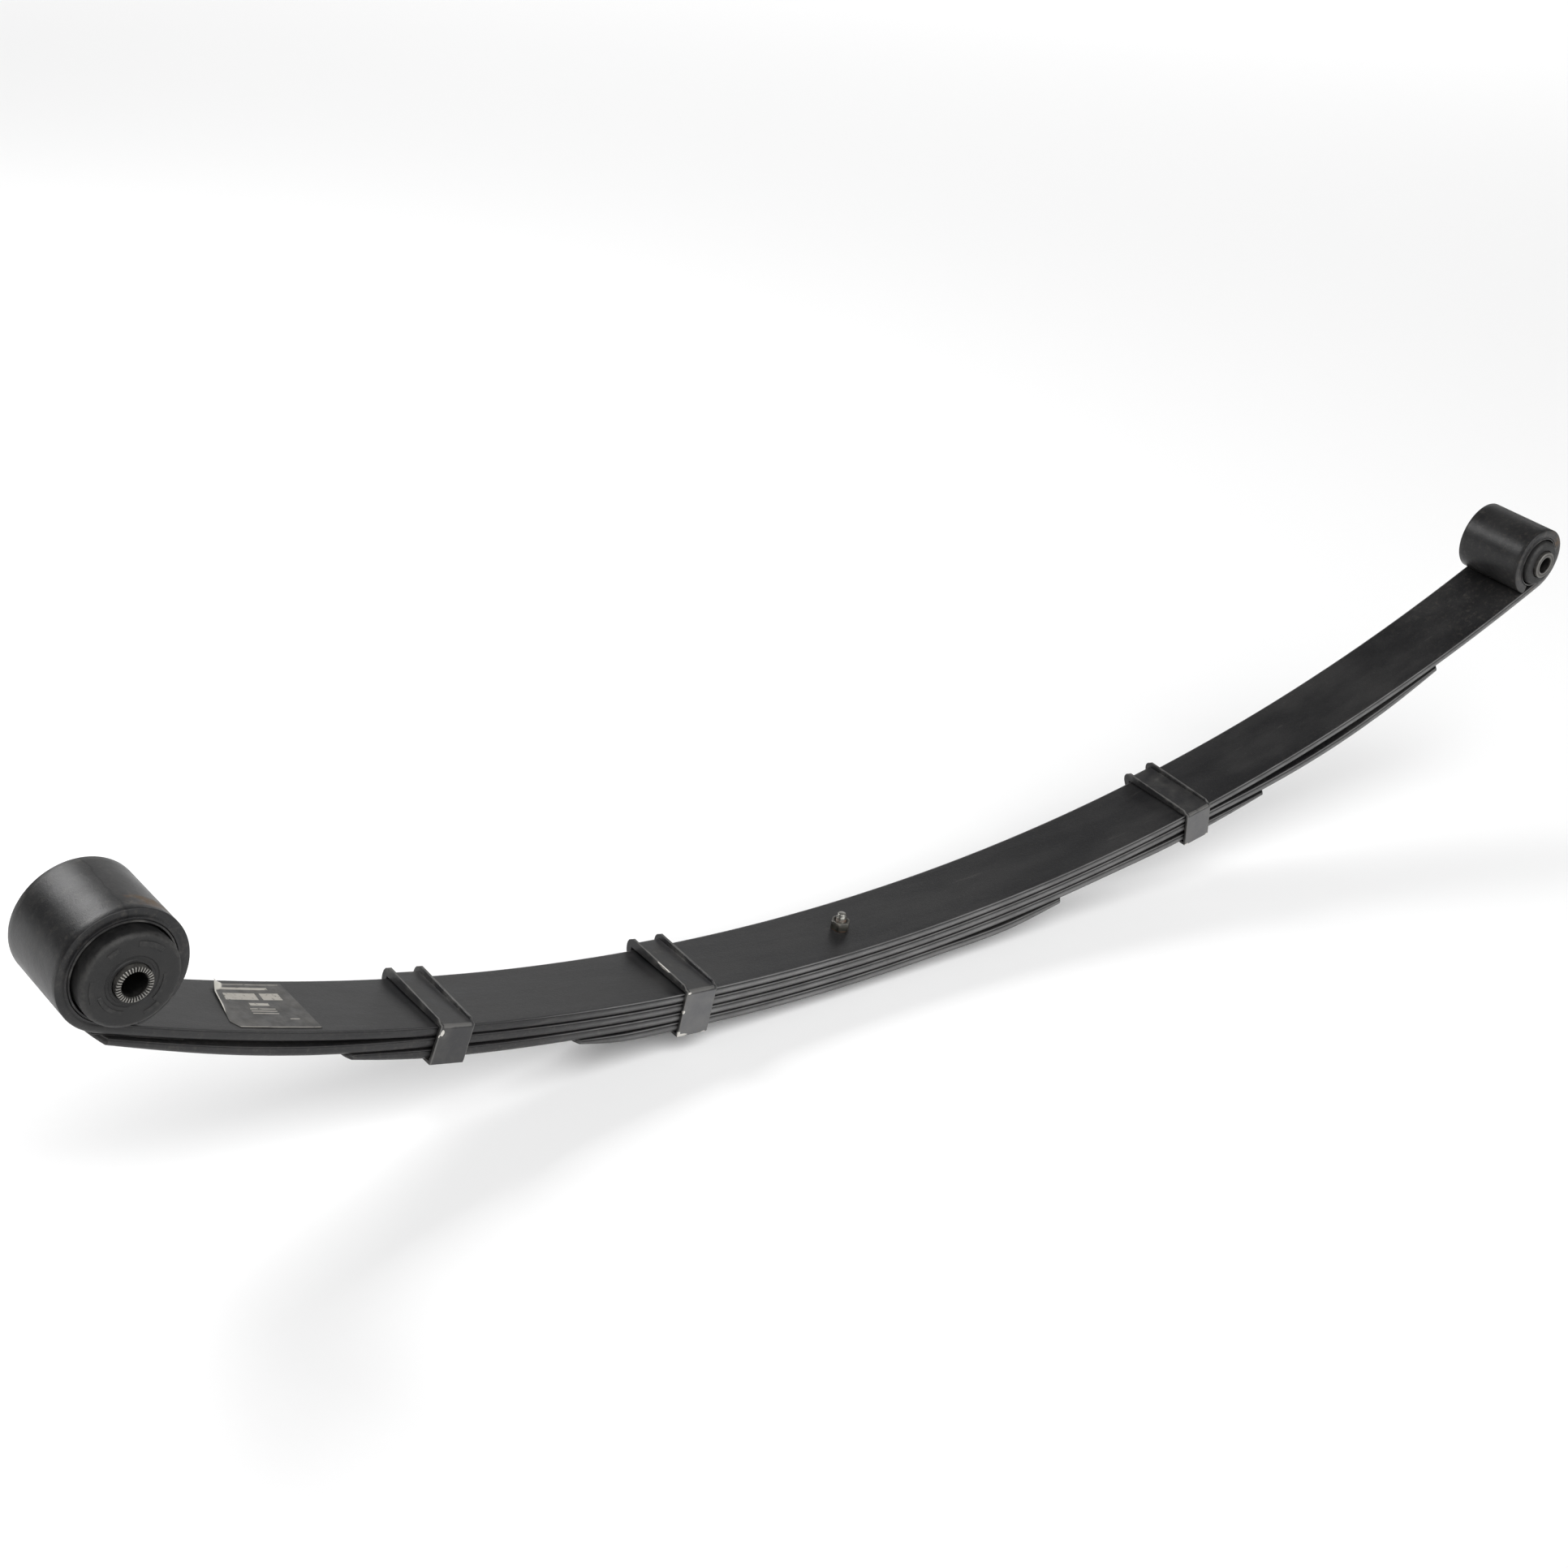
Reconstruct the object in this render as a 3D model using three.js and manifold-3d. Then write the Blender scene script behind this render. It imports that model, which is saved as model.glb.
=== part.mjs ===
// A four-leaf semi-elliptic spring for a light truck axle, in millimetres, +Z up.
// Origin: the foot of the centre bolt's head, on the bolt's axis. +X runs to the rear (small) eye, +Y across.
// A real leaf bends all along its length. Here each leaf is cut across at two flex stations, so that it is a
// middle clamped by the centre bolt and two arms, each turning about its own neutral axis at the cut.
import * as THREE from "three";
import { mergeVertices } from "three/addons/utils/BufferGeometryUtils.js";
import Module from "manifold-3d";

const wasm = await Module();
wasm.setup();

// Leaves. A reach is a length along the top of the main leaf, from the centre bolt outwards.
const LEAF_WIDTH = 63.5;
const LEAF_THICKNESS = 7.3;
const LEAF_GAP = 0.5; // play between one leaf and the next
const EDGE_ROUND = 1.2; // rounding along a leaf's long edges
const LEAF_NAMES = ["main_leaf", "second_leaf", "third_leaf", "fourth_leaf"];
const LEAF_STEP = 15; // longest facet along a leaf
const MOST_BEND = 16; // degrees that an arm turns at full bump
const CUT_CLEARANCE = 0.15; // left at a flex cut when the arm is at full bump

// Tip liners, thin pads between a leaf's tip and the leaf above it.
const LINER_THICKNESS = 1.6;
const LINER_LENGTH = 62;
const LINER_OVERHANG = 4;
const LINER_WIDTH = 58;
const CLEARANCE = 0.3; // between pieces that touch

// Each lower leaf: its reach, the thickness of its tapered tip, the taper's length, the swell of the free
// space above it (where it starts and how deep it is), the chamfer of its corners, and whether it has a liner.
const FRONT = {
  sign: -1,
  camber: 1625, // radius of the main leaf's top
  flex: 110, // reach of the flex stations
  eyeReach: 619,
  eyeRadius: 34,
  leaves: [
    null,
    { reach: 617, tip: 4.8, taper: 185, swellFrom: 330, swell: 1.2, trim: [7, 19], liner: true },
    { reach: 439, tip: 3.8, taper: 80, swellFrom: 200, swell: 1, trim: [4, 7], liner: false },
    { reach: 257, tip: 2.8, taper: 60, swellFrom: 150, swell: 0.8, trim: [4, 7], liner: false },
  ],
};
const REAR = {
  sign: 1,
  camber: 1690,
  flex: 150,
  eyeReach: 782,
  eyeRadius: 23,
  leaves: [
    null,
    { reach: 651, tip: 3, taper: 75, swellFrom: 290, swell: 4.1, trim: [4, 5], liner: true },
    { reach: 436, tip: 2.4, taper: 130, swellFrom: 240, swell: 0.3, trim: [4, 5], liner: true },
    { reach: 206.5, tip: 4.6, taper: 60, swellFrom: 40, swell: 2, trim: [3, 4], liner: false },
  ],
};
const SWELL_SKEW = 1.4; // over 1 moves the deepest part of the swell towards the tip
const EYE_END_GAP = 0.9; // between the eye's free end and the top of the leaf

// Rebound clips: bands round the pack, with a flange along each edge of the top strap and round its far corner.
const CLIP_WIDTH = 26.5;
const CLIP_THICKNESS = 2.3;
const CLIP_CORNER = 3;
const CLIP_SIDE_PLAY = 0.8;
const CLIP_FOOT_PLAY = 0.3;
const FLANGE_THICKNESS = 1.8;
const FLANGE_LOW = 2; // height at the near end, above the strap
const FLANGE_DROP = 12; // how far the flange runs on down the far side plate
const SEAM_GAP = 1; // between the strap's two ends, under the pack
const SEAM_OFFSET = 19;
// Each clip: where it is, the lowest leaf in it, the play over the main leaf, the flanges' height at the far end.
const CLIPS = [
  { name: "front_outer_clip", side: FRONT, reach: 363.5, holds: 2, topPlay: 0.8, flange: 4.5 },
  { name: "front_inner_clip", side: FRONT, reach: 157.5, holds: 3, topPlay: 2, flange: 4.5 },
  { name: "rear_clip", side: REAR, reach: 352, holds: 2, topPlay: 0.8, flange: 5 },
];
const RIVET_RADIUS = 4;
const RIVET_HEAD_RADIUS = 6.5;
const RIVET_HEAD_HEIGHT = 2.6;

// Centre bolt and nut.
const BOLT_RADIUS = 4;
const BOLT_HEAD_RADIUS = 7.5;
const BOLT_HEAD_HEIGHT = 8;
const BOLT_ABOVE_LEAF = 12.8;
const BOLT_POINT_RADIUS = 3.2;
const BOLT_POINT_HEIGHT = 2.6;
const NUT_ACROSS_FLATS = 13;
const NUT_HEIGHT = 7;
const NUT_CHAMFER = 1.2;

// Eye bushes: a steel shell pressed in the eye, rubber, and an inner sleeve that the pivot bolt clamps.
const SHELL_WALL = 1.4;
const FRONT_BUSH = {
  name: "front",
  side: FRONT,
  rubberRadius: 31.3,
  rubberProud: 11,
  sleeveRadius: 11.8,
  sleeveBore: 8.2,
  sleeveProud: 15,
  grooves: 18,
};
const REAR_BUSH = {
  name: "rear",
  side: REAR,
  rubberRadius: 20.2,
  rubberProud: 4.5,
  sleeveRadius: 12,
  sleeveBore: 7.2,
  sleeveProud: 7.5,
  grooves: 0,
};
const GROOVE_WIDTH = 0.9;
const GROOVE_DEPTH = 0.9;
const RUBBER_LIP_ROUND = 3;

// Label on the main leaf, by the front eye.
const LABEL_REACH = [462, 526];
const LABEL_WIDTH = 54;
const LABEL_FILM = 0.3;

const ROUND_SEGMENTS = 48;
const SMALL_SEGMENTS = 24;

// Looks.
const satinBlack = { color: 0x2b2b2d, roughness: 0.5, metalness: 0.35 };
const clipSteel = { color: 0x333436, roughness: 0.42, metalness: 0.5 };
const zincSteel = { color: 0x6f6a62, roughness: 0.45, metalness: 0.8 };
const bushRubber = { color: 0x232325, roughness: 0.75, metalness: 0 };
const linerPlastic = { color: 0x2a2a2a, roughness: 0.6, metalness: 0 };
const labelFilm = { color: 0x4a4641, roughness: 0.35, metalness: 0 };

const group = new THREE.Group();

// The height of the main leaf's top at the centre bolt.
const STACK = LEAF_NAMES.length * LEAF_THICKNESS + (LEAF_NAMES.length - 1) * LEAF_GAP;
const TOP_HEIGHT = BOLT_HEAD_HEIGHT + CLEARANCE + STACK;

// Solids.

function toSolid(geometry) {
  const bare = geometry.clone();
  bare.deleteAttribute("normal");
  bare.deleteAttribute("uv");
  const merged = mergeVertices(bare, 1e-4);
  return new wasm.Manifold(
    new wasm.Mesh({
      numProp: 3,
      vertProperties: merged.getAttribute("position").array,
      triVerts: new Uint32Array(merged.index.array),
    }),
  );
}

function toGeometry(solid) {
  const mesh = solid.getMesh();
  const geometry = new THREE.BufferGeometry();
  geometry.setAttribute("position", new THREE.BufferAttribute(mesh.vertProperties, mesh.numProp));
  geometry.setIndex(new THREE.BufferAttribute(mesh.triVerts, 1));
  geometry.computeVertexNormals();
  return geometry;
}

function addMesh(name, geometry, look) {
  const mesh = new THREE.Mesh(geometry, new THREE.MeshStandardMaterial(look));
  mesh.name = name;
  group.add(mesh);
  return mesh;
}

// An outline in X and Z, swept across the leaf's width, with rounded long edges.
function acrossWidth(points, width, round) {
  const shape = new THREE.Shape(points);
  const geometry = new THREE.ExtrudeGeometry(shape, {
    depth: width - 2 * round,
    bevelEnabled: round > 0,
    bevelThickness: round,
    bevelSize: round,
    bevelOffset: -round,
    bevelSegments: 1,
    steps: 1,
  });
  geometry.translate(0, 0, -(width - 2 * round) / 2);
  geometry.rotateX(Math.PI / 2);
  return geometry;
}

// A profile of radius and length turned about the Y axis, closed on itself or starting and ending on the axis.
function turnedAboutY(profile, segments) {
  const points = profile.map(([radius, along]) => new THREE.Vector2(radius, along));
  return new THREE.LatheGeometry(points, segments);
}

// Places along a side of the spring, at a reach and a depth below the main leaf's top.

function angleAt(side, reach) {
  return (side.sign * reach) / side.camber;
}

function pointAt(side, reach, depth) {
  const angle = angleAt(side, reach);
  const radius = side.camber + depth;
  const x = radius * Math.sin(angle);
  const z = TOP_HEIGHT + side.camber - radius * Math.cos(angle);
  return new THREE.Vector2(x, z);
}

function stationMatrix(side, reach, depth) {
  const point = pointAt(side, reach, depth);
  const matrix = new THREE.Matrix4().makeRotationY(-angleAt(side, reach));
  return matrix.setPosition(point.x, 0, point.y);
}

function ease(u) {
  const t = THREE.MathUtils.clamp(u, 0, 1);
  return t * t * (3 - 2 * t);
}

// Thickness of a leaf at a reach: full, then tapered to its tip.
function thicknessAt(side, index, reach) {
  const leaf = side.leaves[index];
  if (!leaf) return LEAF_THICKNESS;
  const u = THREE.MathUtils.clamp((reach - leaf.reach + leaf.taper) / leaf.taper, 0, 1);
  return LEAF_THICKNESS - (LEAF_THICKNESS - leaf.tip) * u * u;
}

// Free space above a leaf at a reach: the play, a swell before the tip, and room for a liner.
function gapAt(side, index, reach) {
  const leaf = side.leaves[index];
  const u = THREE.MathUtils.clamp((reach - leaf.swellFrom) / (leaf.reach - leaf.swellFrom), 0, 1);
  const swell = leaf.swell * Math.sin(Math.PI * u ** SWELL_SKEW) ** 2;
  const linerRoom = leaf.liner ? LINER_THICKNESS + 2 * CLEARANCE - LEAF_GAP : 0;
  return LEAF_GAP + swell + linerRoom * ease(2 * u);
}

function topDepth(side, index, reach) {
  if (index === 0) return 0;
  return footDepth(side, index - 1, reach) + gapAt(side, index, reach);
}

function footDepth(side, index, reach) {
  return topDepth(side, index, reach) + thicknessAt(side, index, reach);
}

// Reaches from one place to another in equal steps no longer than a leaf facet.
function stepsBetween(from, to) {
  const count = Math.max(1, Math.ceil(Math.abs(to - from) / LEAF_STEP));
  return Array.from({ length: count + 1 }, (_, i) => from + ((to - from) * i) / count);
}

// Half of a flex cut. The corner of a square end turned by an angle a reaches t/2 sin a past the neutral axis.
const bend = THREE.MathUtils.degToRad(MOST_BEND);
const HALF_CUT = ((LEAF_THICKNESS / 2) * Math.sin(bend)) / (1 + Math.cos(bend)) + CUT_CLEARANCE;

// The reach, at a depth, of a plane that stands half a cut before or behind a flex station.
function cutReach(side, depth, sense) {
  return side.flex + (sense * HALF_CUT * side.camber) / (side.camber + depth);
}

// Leaf outlines.

function surface(side, index, reaches, depthOf) {
  return reaches.map((reach) => pointAt(side, reach, depthOf(side, index, reach)));
}

function middleOutline(index) {
  const outline = [];
  for (const depthOf of [topDepth, footDepth]) {
    const front = cutReach(FRONT, depthOf(FRONT, index, FRONT.flex), -1);
    const rear = cutReach(REAR, depthOf(REAR, index, REAR.flex), -1);
    const line = [
      ...surface(FRONT, index, stepsBetween(front, 0), depthOf),
      ...surface(REAR, index, stepsBetween(0, rear), depthOf).slice(1),
    ];
    outline.push(...(depthOf === topDepth ? line : line.reverse()));
  }
  return outline;
}

// The arm's inner end, where each surface starts.
function armStart(side, index, depthOf) {
  return cutReach(side, depthOf(side, index, side.flex), 1);
}

function armOutline(side, index) {
  const reach = side.leaves[index].reach;
  const top = surface(side, index, stepsBetween(armStart(side, index, topDepth), reach), topDepth);
  const foot = surface(side, index, stepsBetween(armStart(side, index, footDepth), reach), footDepth);
  return [...top, ...foot.reverse()];
}

// The eye's centre stands over the point where the strip starts to roll up.
function eyeCentre(side) {
  return pointAt(side, side.eyeReach, -side.eyeRadius);
}

// Part of the eye's wall, from the foot of the eye outboard, over the top and down inboard.
function eyeArc(side, radius, fromTurn, toTurn) {
  const centre = eyeCentre(side);
  const tilt = angleAt(side, side.eyeReach);
  const count = Math.ceil((Math.abs(toTurn - fromTurn) / (2 * Math.PI)) * ROUND_SEGMENTS);
  return Array.from({ length: count + 1 }, (_, i) => {
    const turn = fromTurn + ((toTurn - fromTurn) * i) / count;
    const angle = side.sign * turn + tilt - Math.PI / 2;
    return new THREE.Vector2(centre.x + radius * Math.cos(angle), centre.y + radius * Math.sin(angle));
  });
}

function mainArmOutline(side) {
  const wall = side.eyeRadius + LEAF_THICKNESS;
  const endTurn = 2 * Math.PI - Math.acos((side.eyeRadius - EYE_END_GAP) / wall);
  const top = surface(side, 0, stepsBetween(armStart(side, 0, topDepth), side.eyeReach), topDepth);
  const foot = surface(side, 0, stepsBetween(armStart(side, 0, footDepth), side.eyeReach), footDepth);
  return [
    ...foot,
    ...eyeArc(side, wall, 0, endTurn).slice(1),
    ...eyeArc(side, side.eyeRadius, endTurn, 0),
    ...top.reverse().slice(1),
  ];
}

// The leaf's outline from above, with its corners cut off at the tip.
function planCut(side, index) {
  const leaf = side.leaves[index];
  const [along, across] = leaf.trim;
  const tip = Math.abs(pointAt(side, leaf.reach, topDepth(side, index, leaf.reach)).x) + 1;
  const half = LEAF_WIDTH / 2 + 1;
  const outline = [
    [0, -half],
    [tip - 1 - along, -half],
    [tip, -half + across],
    [tip, half - across],
    [tip - 1 - along, half],
    [0, half],
  ].map(([x, y]) => new THREE.Vector2(side.sign * x, y));
  const tall = 2 * side.camber;
  const geometry = new THREE.ExtrudeGeometry(new THREE.Shape(outline), { depth: tall, bevelEnabled: false });
  return toSolid(geometry.translate(0, 0, -tall / 2));
}

// A cylinder along a leaf's normal at a reach, to cut a rivet hole.
function rivetHole(side, reach) {
  const geometry = new THREE.CylinderGeometry(
    RIVET_RADIUS + CLEARANCE,
    RIVET_RADIUS + CLEARANCE,
    4 * STACK,
    SMALL_SEGMENTS,
  );
  geometry.rotateX(Math.PI / 2);
  geometry.applyMatrix4(stationMatrix(side, reach, 0));
  return toSolid(geometry);
}

// Leaves: a middle and two arms each.

function addMiddle(index) {
  const middle = toSolid(acrossWidth(middleOutline(index), LEAF_WIDTH, EDGE_ROUND));
  const hole = new THREE.CylinderGeometry(
    BOLT_RADIUS + CLEARANCE,
    BOLT_RADIUS + CLEARANCE,
    4 * STACK,
    SMALL_SEGMENTS,
  );
  hole.rotateX(Math.PI / 2);
  hole.translate(0, 0, TOP_HEIGHT);
  addMesh(LEAF_NAMES[index] + "_middle", toGeometry(middle.subtract(toSolid(hole))), satinBlack);
}

function addArm(side, index) {
  const place = side === FRONT ? "_front" : "_rear";
  const outline = index === 0 ? mainArmOutline(side) : armOutline(side, index);
  let arm = toSolid(acrossWidth(outline, LEAF_WIDTH, EDGE_ROUND));
  if (index > 0) arm = arm.intersect(planCut(side, index));
  for (const clip of CLIPS) {
    if (clip.side === side && clip.holds === index) arm = arm.subtract(rivetHole(side, clip.reach));
  }
  addMesh(LEAF_NAMES[index] + place, toGeometry(arm), satinBlack);
}

function addLiner(side, index) {
  const place = side === FRONT ? "_front" : "_rear";
  const tip = side.leaves[index].reach + LINER_OVERHANG;
  const reaches = stepsBetween(tip - LINER_LENGTH, tip);
  const above = (reach) => footDepth(side, index - 1, reach) + CLEARANCE;
  const top = reaches.map((reach) => pointAt(side, reach, above(reach)));
  const foot = reaches.map((reach) => pointAt(side, reach, above(reach) + LINER_THICKNESS));
  const geometry = acrossWidth([...top, ...foot.reverse()], LINER_WIDTH, 0);
  addMesh(LEAF_NAMES[index] + place + "_liner", geometry, linerPlastic);
}

// Rebound clips, built about their station with Z along the leaf's normal, then placed.

function roundedRectangle(path, width, low, high, corner) {
  const half = width / 2;
  path.moveTo(-half + corner, low);
  path.lineTo(half - corner, low);
  path.absarc(half - corner, low + corner, corner, -Math.PI / 2, 0);
  path.lineTo(half, high - corner);
  path.absarc(half - corner, high - corner, corner, 0, Math.PI / 2);
  path.lineTo(-half + corner, high);
  path.absarc(-half + corner, high - corner, corner, Math.PI / 2, Math.PI);
  path.lineTo(-half, low + corner);
  path.absarc(-half + corner, low + corner, corner, Math.PI, 1.5 * Math.PI);
  return path;
}

// A shape in Y and Z, swept along X and centred on it.
function alongX(shape, length) {
  const geometry = new THREE.ExtrudeGeometry(shape, { depth: length, bevelEnabled: false, curveSegments: 4 });
  geometry.translate(0, 0, -length / 2);
  geometry.rotateX(Math.PI / 2);
  geometry.rotateZ(Math.PI / 2);
  return geometry;
}

// The lowest point of the pack inside a clip, as a height under the main leaf's top.
function clipFoot(clip) {
  const half = CLIP_WIDTH / 2;
  const reaches = [clip.reach - half, clip.reach, clip.reach + half];
  return -Math.max(...reaches.map((reach) => footDepth(clip.side, clip.holds, reach))) - CLIP_FOOT_PLAY;
}

// A flange in Y and Z. It rises along the top strap, turns the far corner and dies out down the far side plate.
function flangeShape(clip, far) {
  const strap = clip.topPlay + CLIP_THICKNESS;
  const corner = new THREE.Vector2(far + CLIP_THICKNESS - CLIP_CORNER, strap - CLIP_CORNER);
  const shape = new THREE.Shape();
  shape.moveTo(-far, strap - CLIP_THICKNESS / 2);
  shape.lineTo(far + CLIP_THICKNESS / 2, strap - CLIP_THICKNESS / 2);
  shape.lineTo(far + CLIP_THICKNESS / 2, corner.y - FLANGE_DROP);
  shape.lineTo(far + CLIP_THICKNESS, corner.y - FLANGE_DROP);
  shape.lineTo(corner.x + CLIP_CORNER + clip.flange, corner.y);
  shape.absarc(corner.x, corner.y, CLIP_CORNER + clip.flange, 0, Math.PI / 2);
  shape.lineTo(-far, strap + FLANGE_LOW);
  return shape;
}

function addClip(clip) {
  const low = clipFoot(clip);
  const high = clip.topPlay;
  const width = LEAF_WIDTH + 2 * CLIP_SIDE_PLAY;
  const wall = CLIP_THICKNESS;
  const band = roundedRectangle(new THREE.Shape(), width + 2 * wall, low - wall, high + wall, CLIP_CORNER);
  band.holes.push(roundedRectangle(new THREE.Path(), width, low, high, CLIP_CORNER - wall));
  let solid = toSolid(alongX(band, CLIP_WIDTH));
  const flange = flangeShape(clip, width / 2);
  for (const end of [-1, 1]) {
    const plate = alongX(flange, FLANGE_THICKNESS);
    plate.translate((end * (CLIP_WIDTH - FLANGE_THICKNESS)) / 2, 0, 0);
    solid = solid.add(toSolid(plate));
  }
  const seam = new THREE.BoxGeometry(2 * CLIP_WIDTH, SEAM_GAP, 3 * wall);
  seam.translate(0, SEAM_OFFSET, low - wall / 2);
  solid = solid.subtract(toSolid(seam));
  const hole = new THREE.CylinderGeometry(
    RIVET_RADIUS + CLEARANCE,
    RIVET_RADIUS + CLEARANCE,
    3 * wall,
    SMALL_SEGMENTS,
  );
  hole.rotateX(Math.PI / 2);
  hole.translate(0, 0, low - wall / 2);
  solid = solid.subtract(toSolid(hole));
  const mesh = addMesh(clip.name, toGeometry(solid), clipSteel);
  mesh.applyMatrix4(stationMatrix(clip.side, clip.reach, 0));
  addRivet(clip, low - wall);
}

// The rivet's domed head is under the strap. Its shank ends just below the top of the leaf that holds the clip.
function addRivet(clip, strapFoot) {
  const end = -topDepth(clip.side, clip.holds, clip.reach) - CLEARANCE;
  const head = strapFoot - CLEARANCE;
  const profile = [
    [0, head - RIVET_HEAD_HEIGHT],
    [RIVET_HEAD_RADIUS * 0.55, head - RIVET_HEAD_HEIGHT * 0.85],
    [RIVET_HEAD_RADIUS * 0.88, head - RIVET_HEAD_HEIGHT * 0.45],
    [RIVET_HEAD_RADIUS, head],
    [RIVET_RADIUS, head],
    [RIVET_RADIUS, end],
    [0, end],
  ];
  const geometry = turnedAboutY(profile, SMALL_SEGMENTS).rotateX(Math.PI / 2);
  const mesh = addMesh(clip.name + "_rivet", geometry, clipSteel);
  mesh.applyMatrix4(stationMatrix(clip.side, clip.reach, 0));
}

// Centre bolt and nut.

function addCentreBolt() {
  const end = TOP_HEIGHT + BOLT_ABOVE_LEAF;
  const profile = [
    [0, 0],
    [BOLT_HEAD_RADIUS, 0],
    [BOLT_HEAD_RADIUS, BOLT_HEAD_HEIGHT],
    [BOLT_RADIUS, BOLT_HEAD_HEIGHT],
    [BOLT_RADIUS, end - BOLT_POINT_HEIGHT],
    [BOLT_POINT_RADIUS, end - BOLT_POINT_HEIGHT + BOLT_RADIUS - BOLT_POINT_RADIUS],
    [BOLT_POINT_RADIUS, end],
    [0, end],
  ];
  addMesh("centre_bolt", turnedAboutY(profile, 32).rotateX(Math.PI / 2), zincSteel);
}

function addCentreNut() {
  const corner = NUT_ACROSS_FLATS / Math.sqrt(3);
  const hexagon = new THREE.CylinderGeometry(corner, corner, NUT_HEIGHT, 6);
  const profile = [
    [0, -NUT_HEIGHT / 2],
    [corner, -NUT_HEIGHT / 2],
    [corner, NUT_HEIGHT / 2 - NUT_CHAMFER / 2],
    [corner - NUT_CHAMFER, NUT_HEIGHT / 2],
    [0, NUT_HEIGHT / 2],
  ];
  const bore = new THREE.CylinderGeometry(
    BOLT_RADIUS + CLEARANCE,
    BOLT_RADIUS + CLEARANCE,
    2 * NUT_HEIGHT,
    SMALL_SEGMENTS,
  );
  const blank = toSolid(hexagon).intersect(toSolid(turnedAboutY(profile, ROUND_SEGMENTS)));
  const geometry = toGeometry(blank.subtract(toSolid(bore))).rotateX(Math.PI / 2);
  const mesh = addMesh("centre_nut", geometry, zincSteel);
  mesh.position.z = TOP_HEIGHT + CLEARANCE + NUT_HEIGHT / 2;
}

// Bushes, turned about the Y axis through the eye's centre.

function addBush(bush) {
  const centre = eyeCentre(bush.side);
  const parts = new THREE.Group();
  parts.position.set(centre.x, 0, centre.y);
  group.add(parts);
  const half = LEAF_WIDTH / 2;
  const shellOuter = bush.side.eyeRadius - CLEARANCE;
  const shellInner = shellOuter - SHELL_WALL;
  const shell = turnedAboutY(ring(shellInner, shellOuter, half), ROUND_SEGMENTS);
  parts.add(addMesh(bush.name + "_bush_shell", shell, clipSteel));

  const inner = bush.sleeveRadius + CLEARANCE;
  const outer = Math.min(bush.rubberRadius, shellInner - CLEARANCE);
  const face = half + bush.rubberProud;
  const lip = RUBBER_LIP_ROUND;
  const rubber = turnedAboutY(
    [
      [inner, -face],
      [outer - lip, -face],
      [outer - lip * 0.3, -face + lip * 0.3],
      [outer, -face + lip],
      [outer, face - lip],
      [outer - lip * 0.3, face - lip * 0.3],
      [outer - lip, face],
      [inner, face],
      [inner, -face],
    ],
    ROUND_SEGMENTS,
  );
  parts.add(addMesh(bush.name + "_bush_rubber", rubber, bushRubber));

  const end = half + bush.sleeveProud;
  let sleeve = toSolid(turnedAboutY(ring(bush.sleeveBore, bush.sleeveRadius, end), ROUND_SEGMENTS));
  for (let i = 0; i < bush.grooves; i += 1) {
    for (const face of [-end, end]) {
      const groove = new THREE.BoxGeometry(3 * bush.sleeveRadius, 2 * GROOVE_DEPTH, GROOVE_WIDTH);
      groove.rotateY((Math.PI * i) / bush.grooves);
      groove.translate(0, face, 0);
      sleeve = sleeve.subtract(toSolid(groove));
    }
  }
  parts.add(addMesh(bush.name + "_bush_sleeve", toGeometry(sleeve), zincSteel));
}

function ring(inner, outer, half) {
  return [
    [inner, -half],
    [outer, -half],
    [outer, half],
    [inner, half],
    [inner, -half],
  ];
}

function addLabel() {
  const reaches = stepsBetween(...LABEL_REACH);
  const top = reaches.map((reach) => pointAt(FRONT, reach, -CLEARANCE - LABEL_FILM));
  const foot = reaches.map((reach) => pointAt(FRONT, reach, -CLEARANCE));
  addMesh("label", acrossWidth([...top, ...foot.reverse()], LABEL_WIDTH, 0), labelFilm);
}

LEAF_NAMES.forEach((_, index) => {
  addMiddle(index);
  for (const side of [FRONT, REAR]) {
    addArm(side, index);
    if (side.leaves[index]?.liner) addLiner(side, index);
  }
});
CLIPS.forEach(addClip);
addCentreBolt();
addCentreNut();
addBush(FRONT_BUSH);
addBush(REAR_BUSH);
addLabel();

export default group;
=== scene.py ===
"""Leaf spring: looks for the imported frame. +X runs to the rear eye, +Y to the far side and +Z up.

Shapes are worked out in millimetres, and new_object turns them into metres.
"""
import math

import bmesh
import bpy
from mathutils import Matrix, Vector, noise


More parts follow.
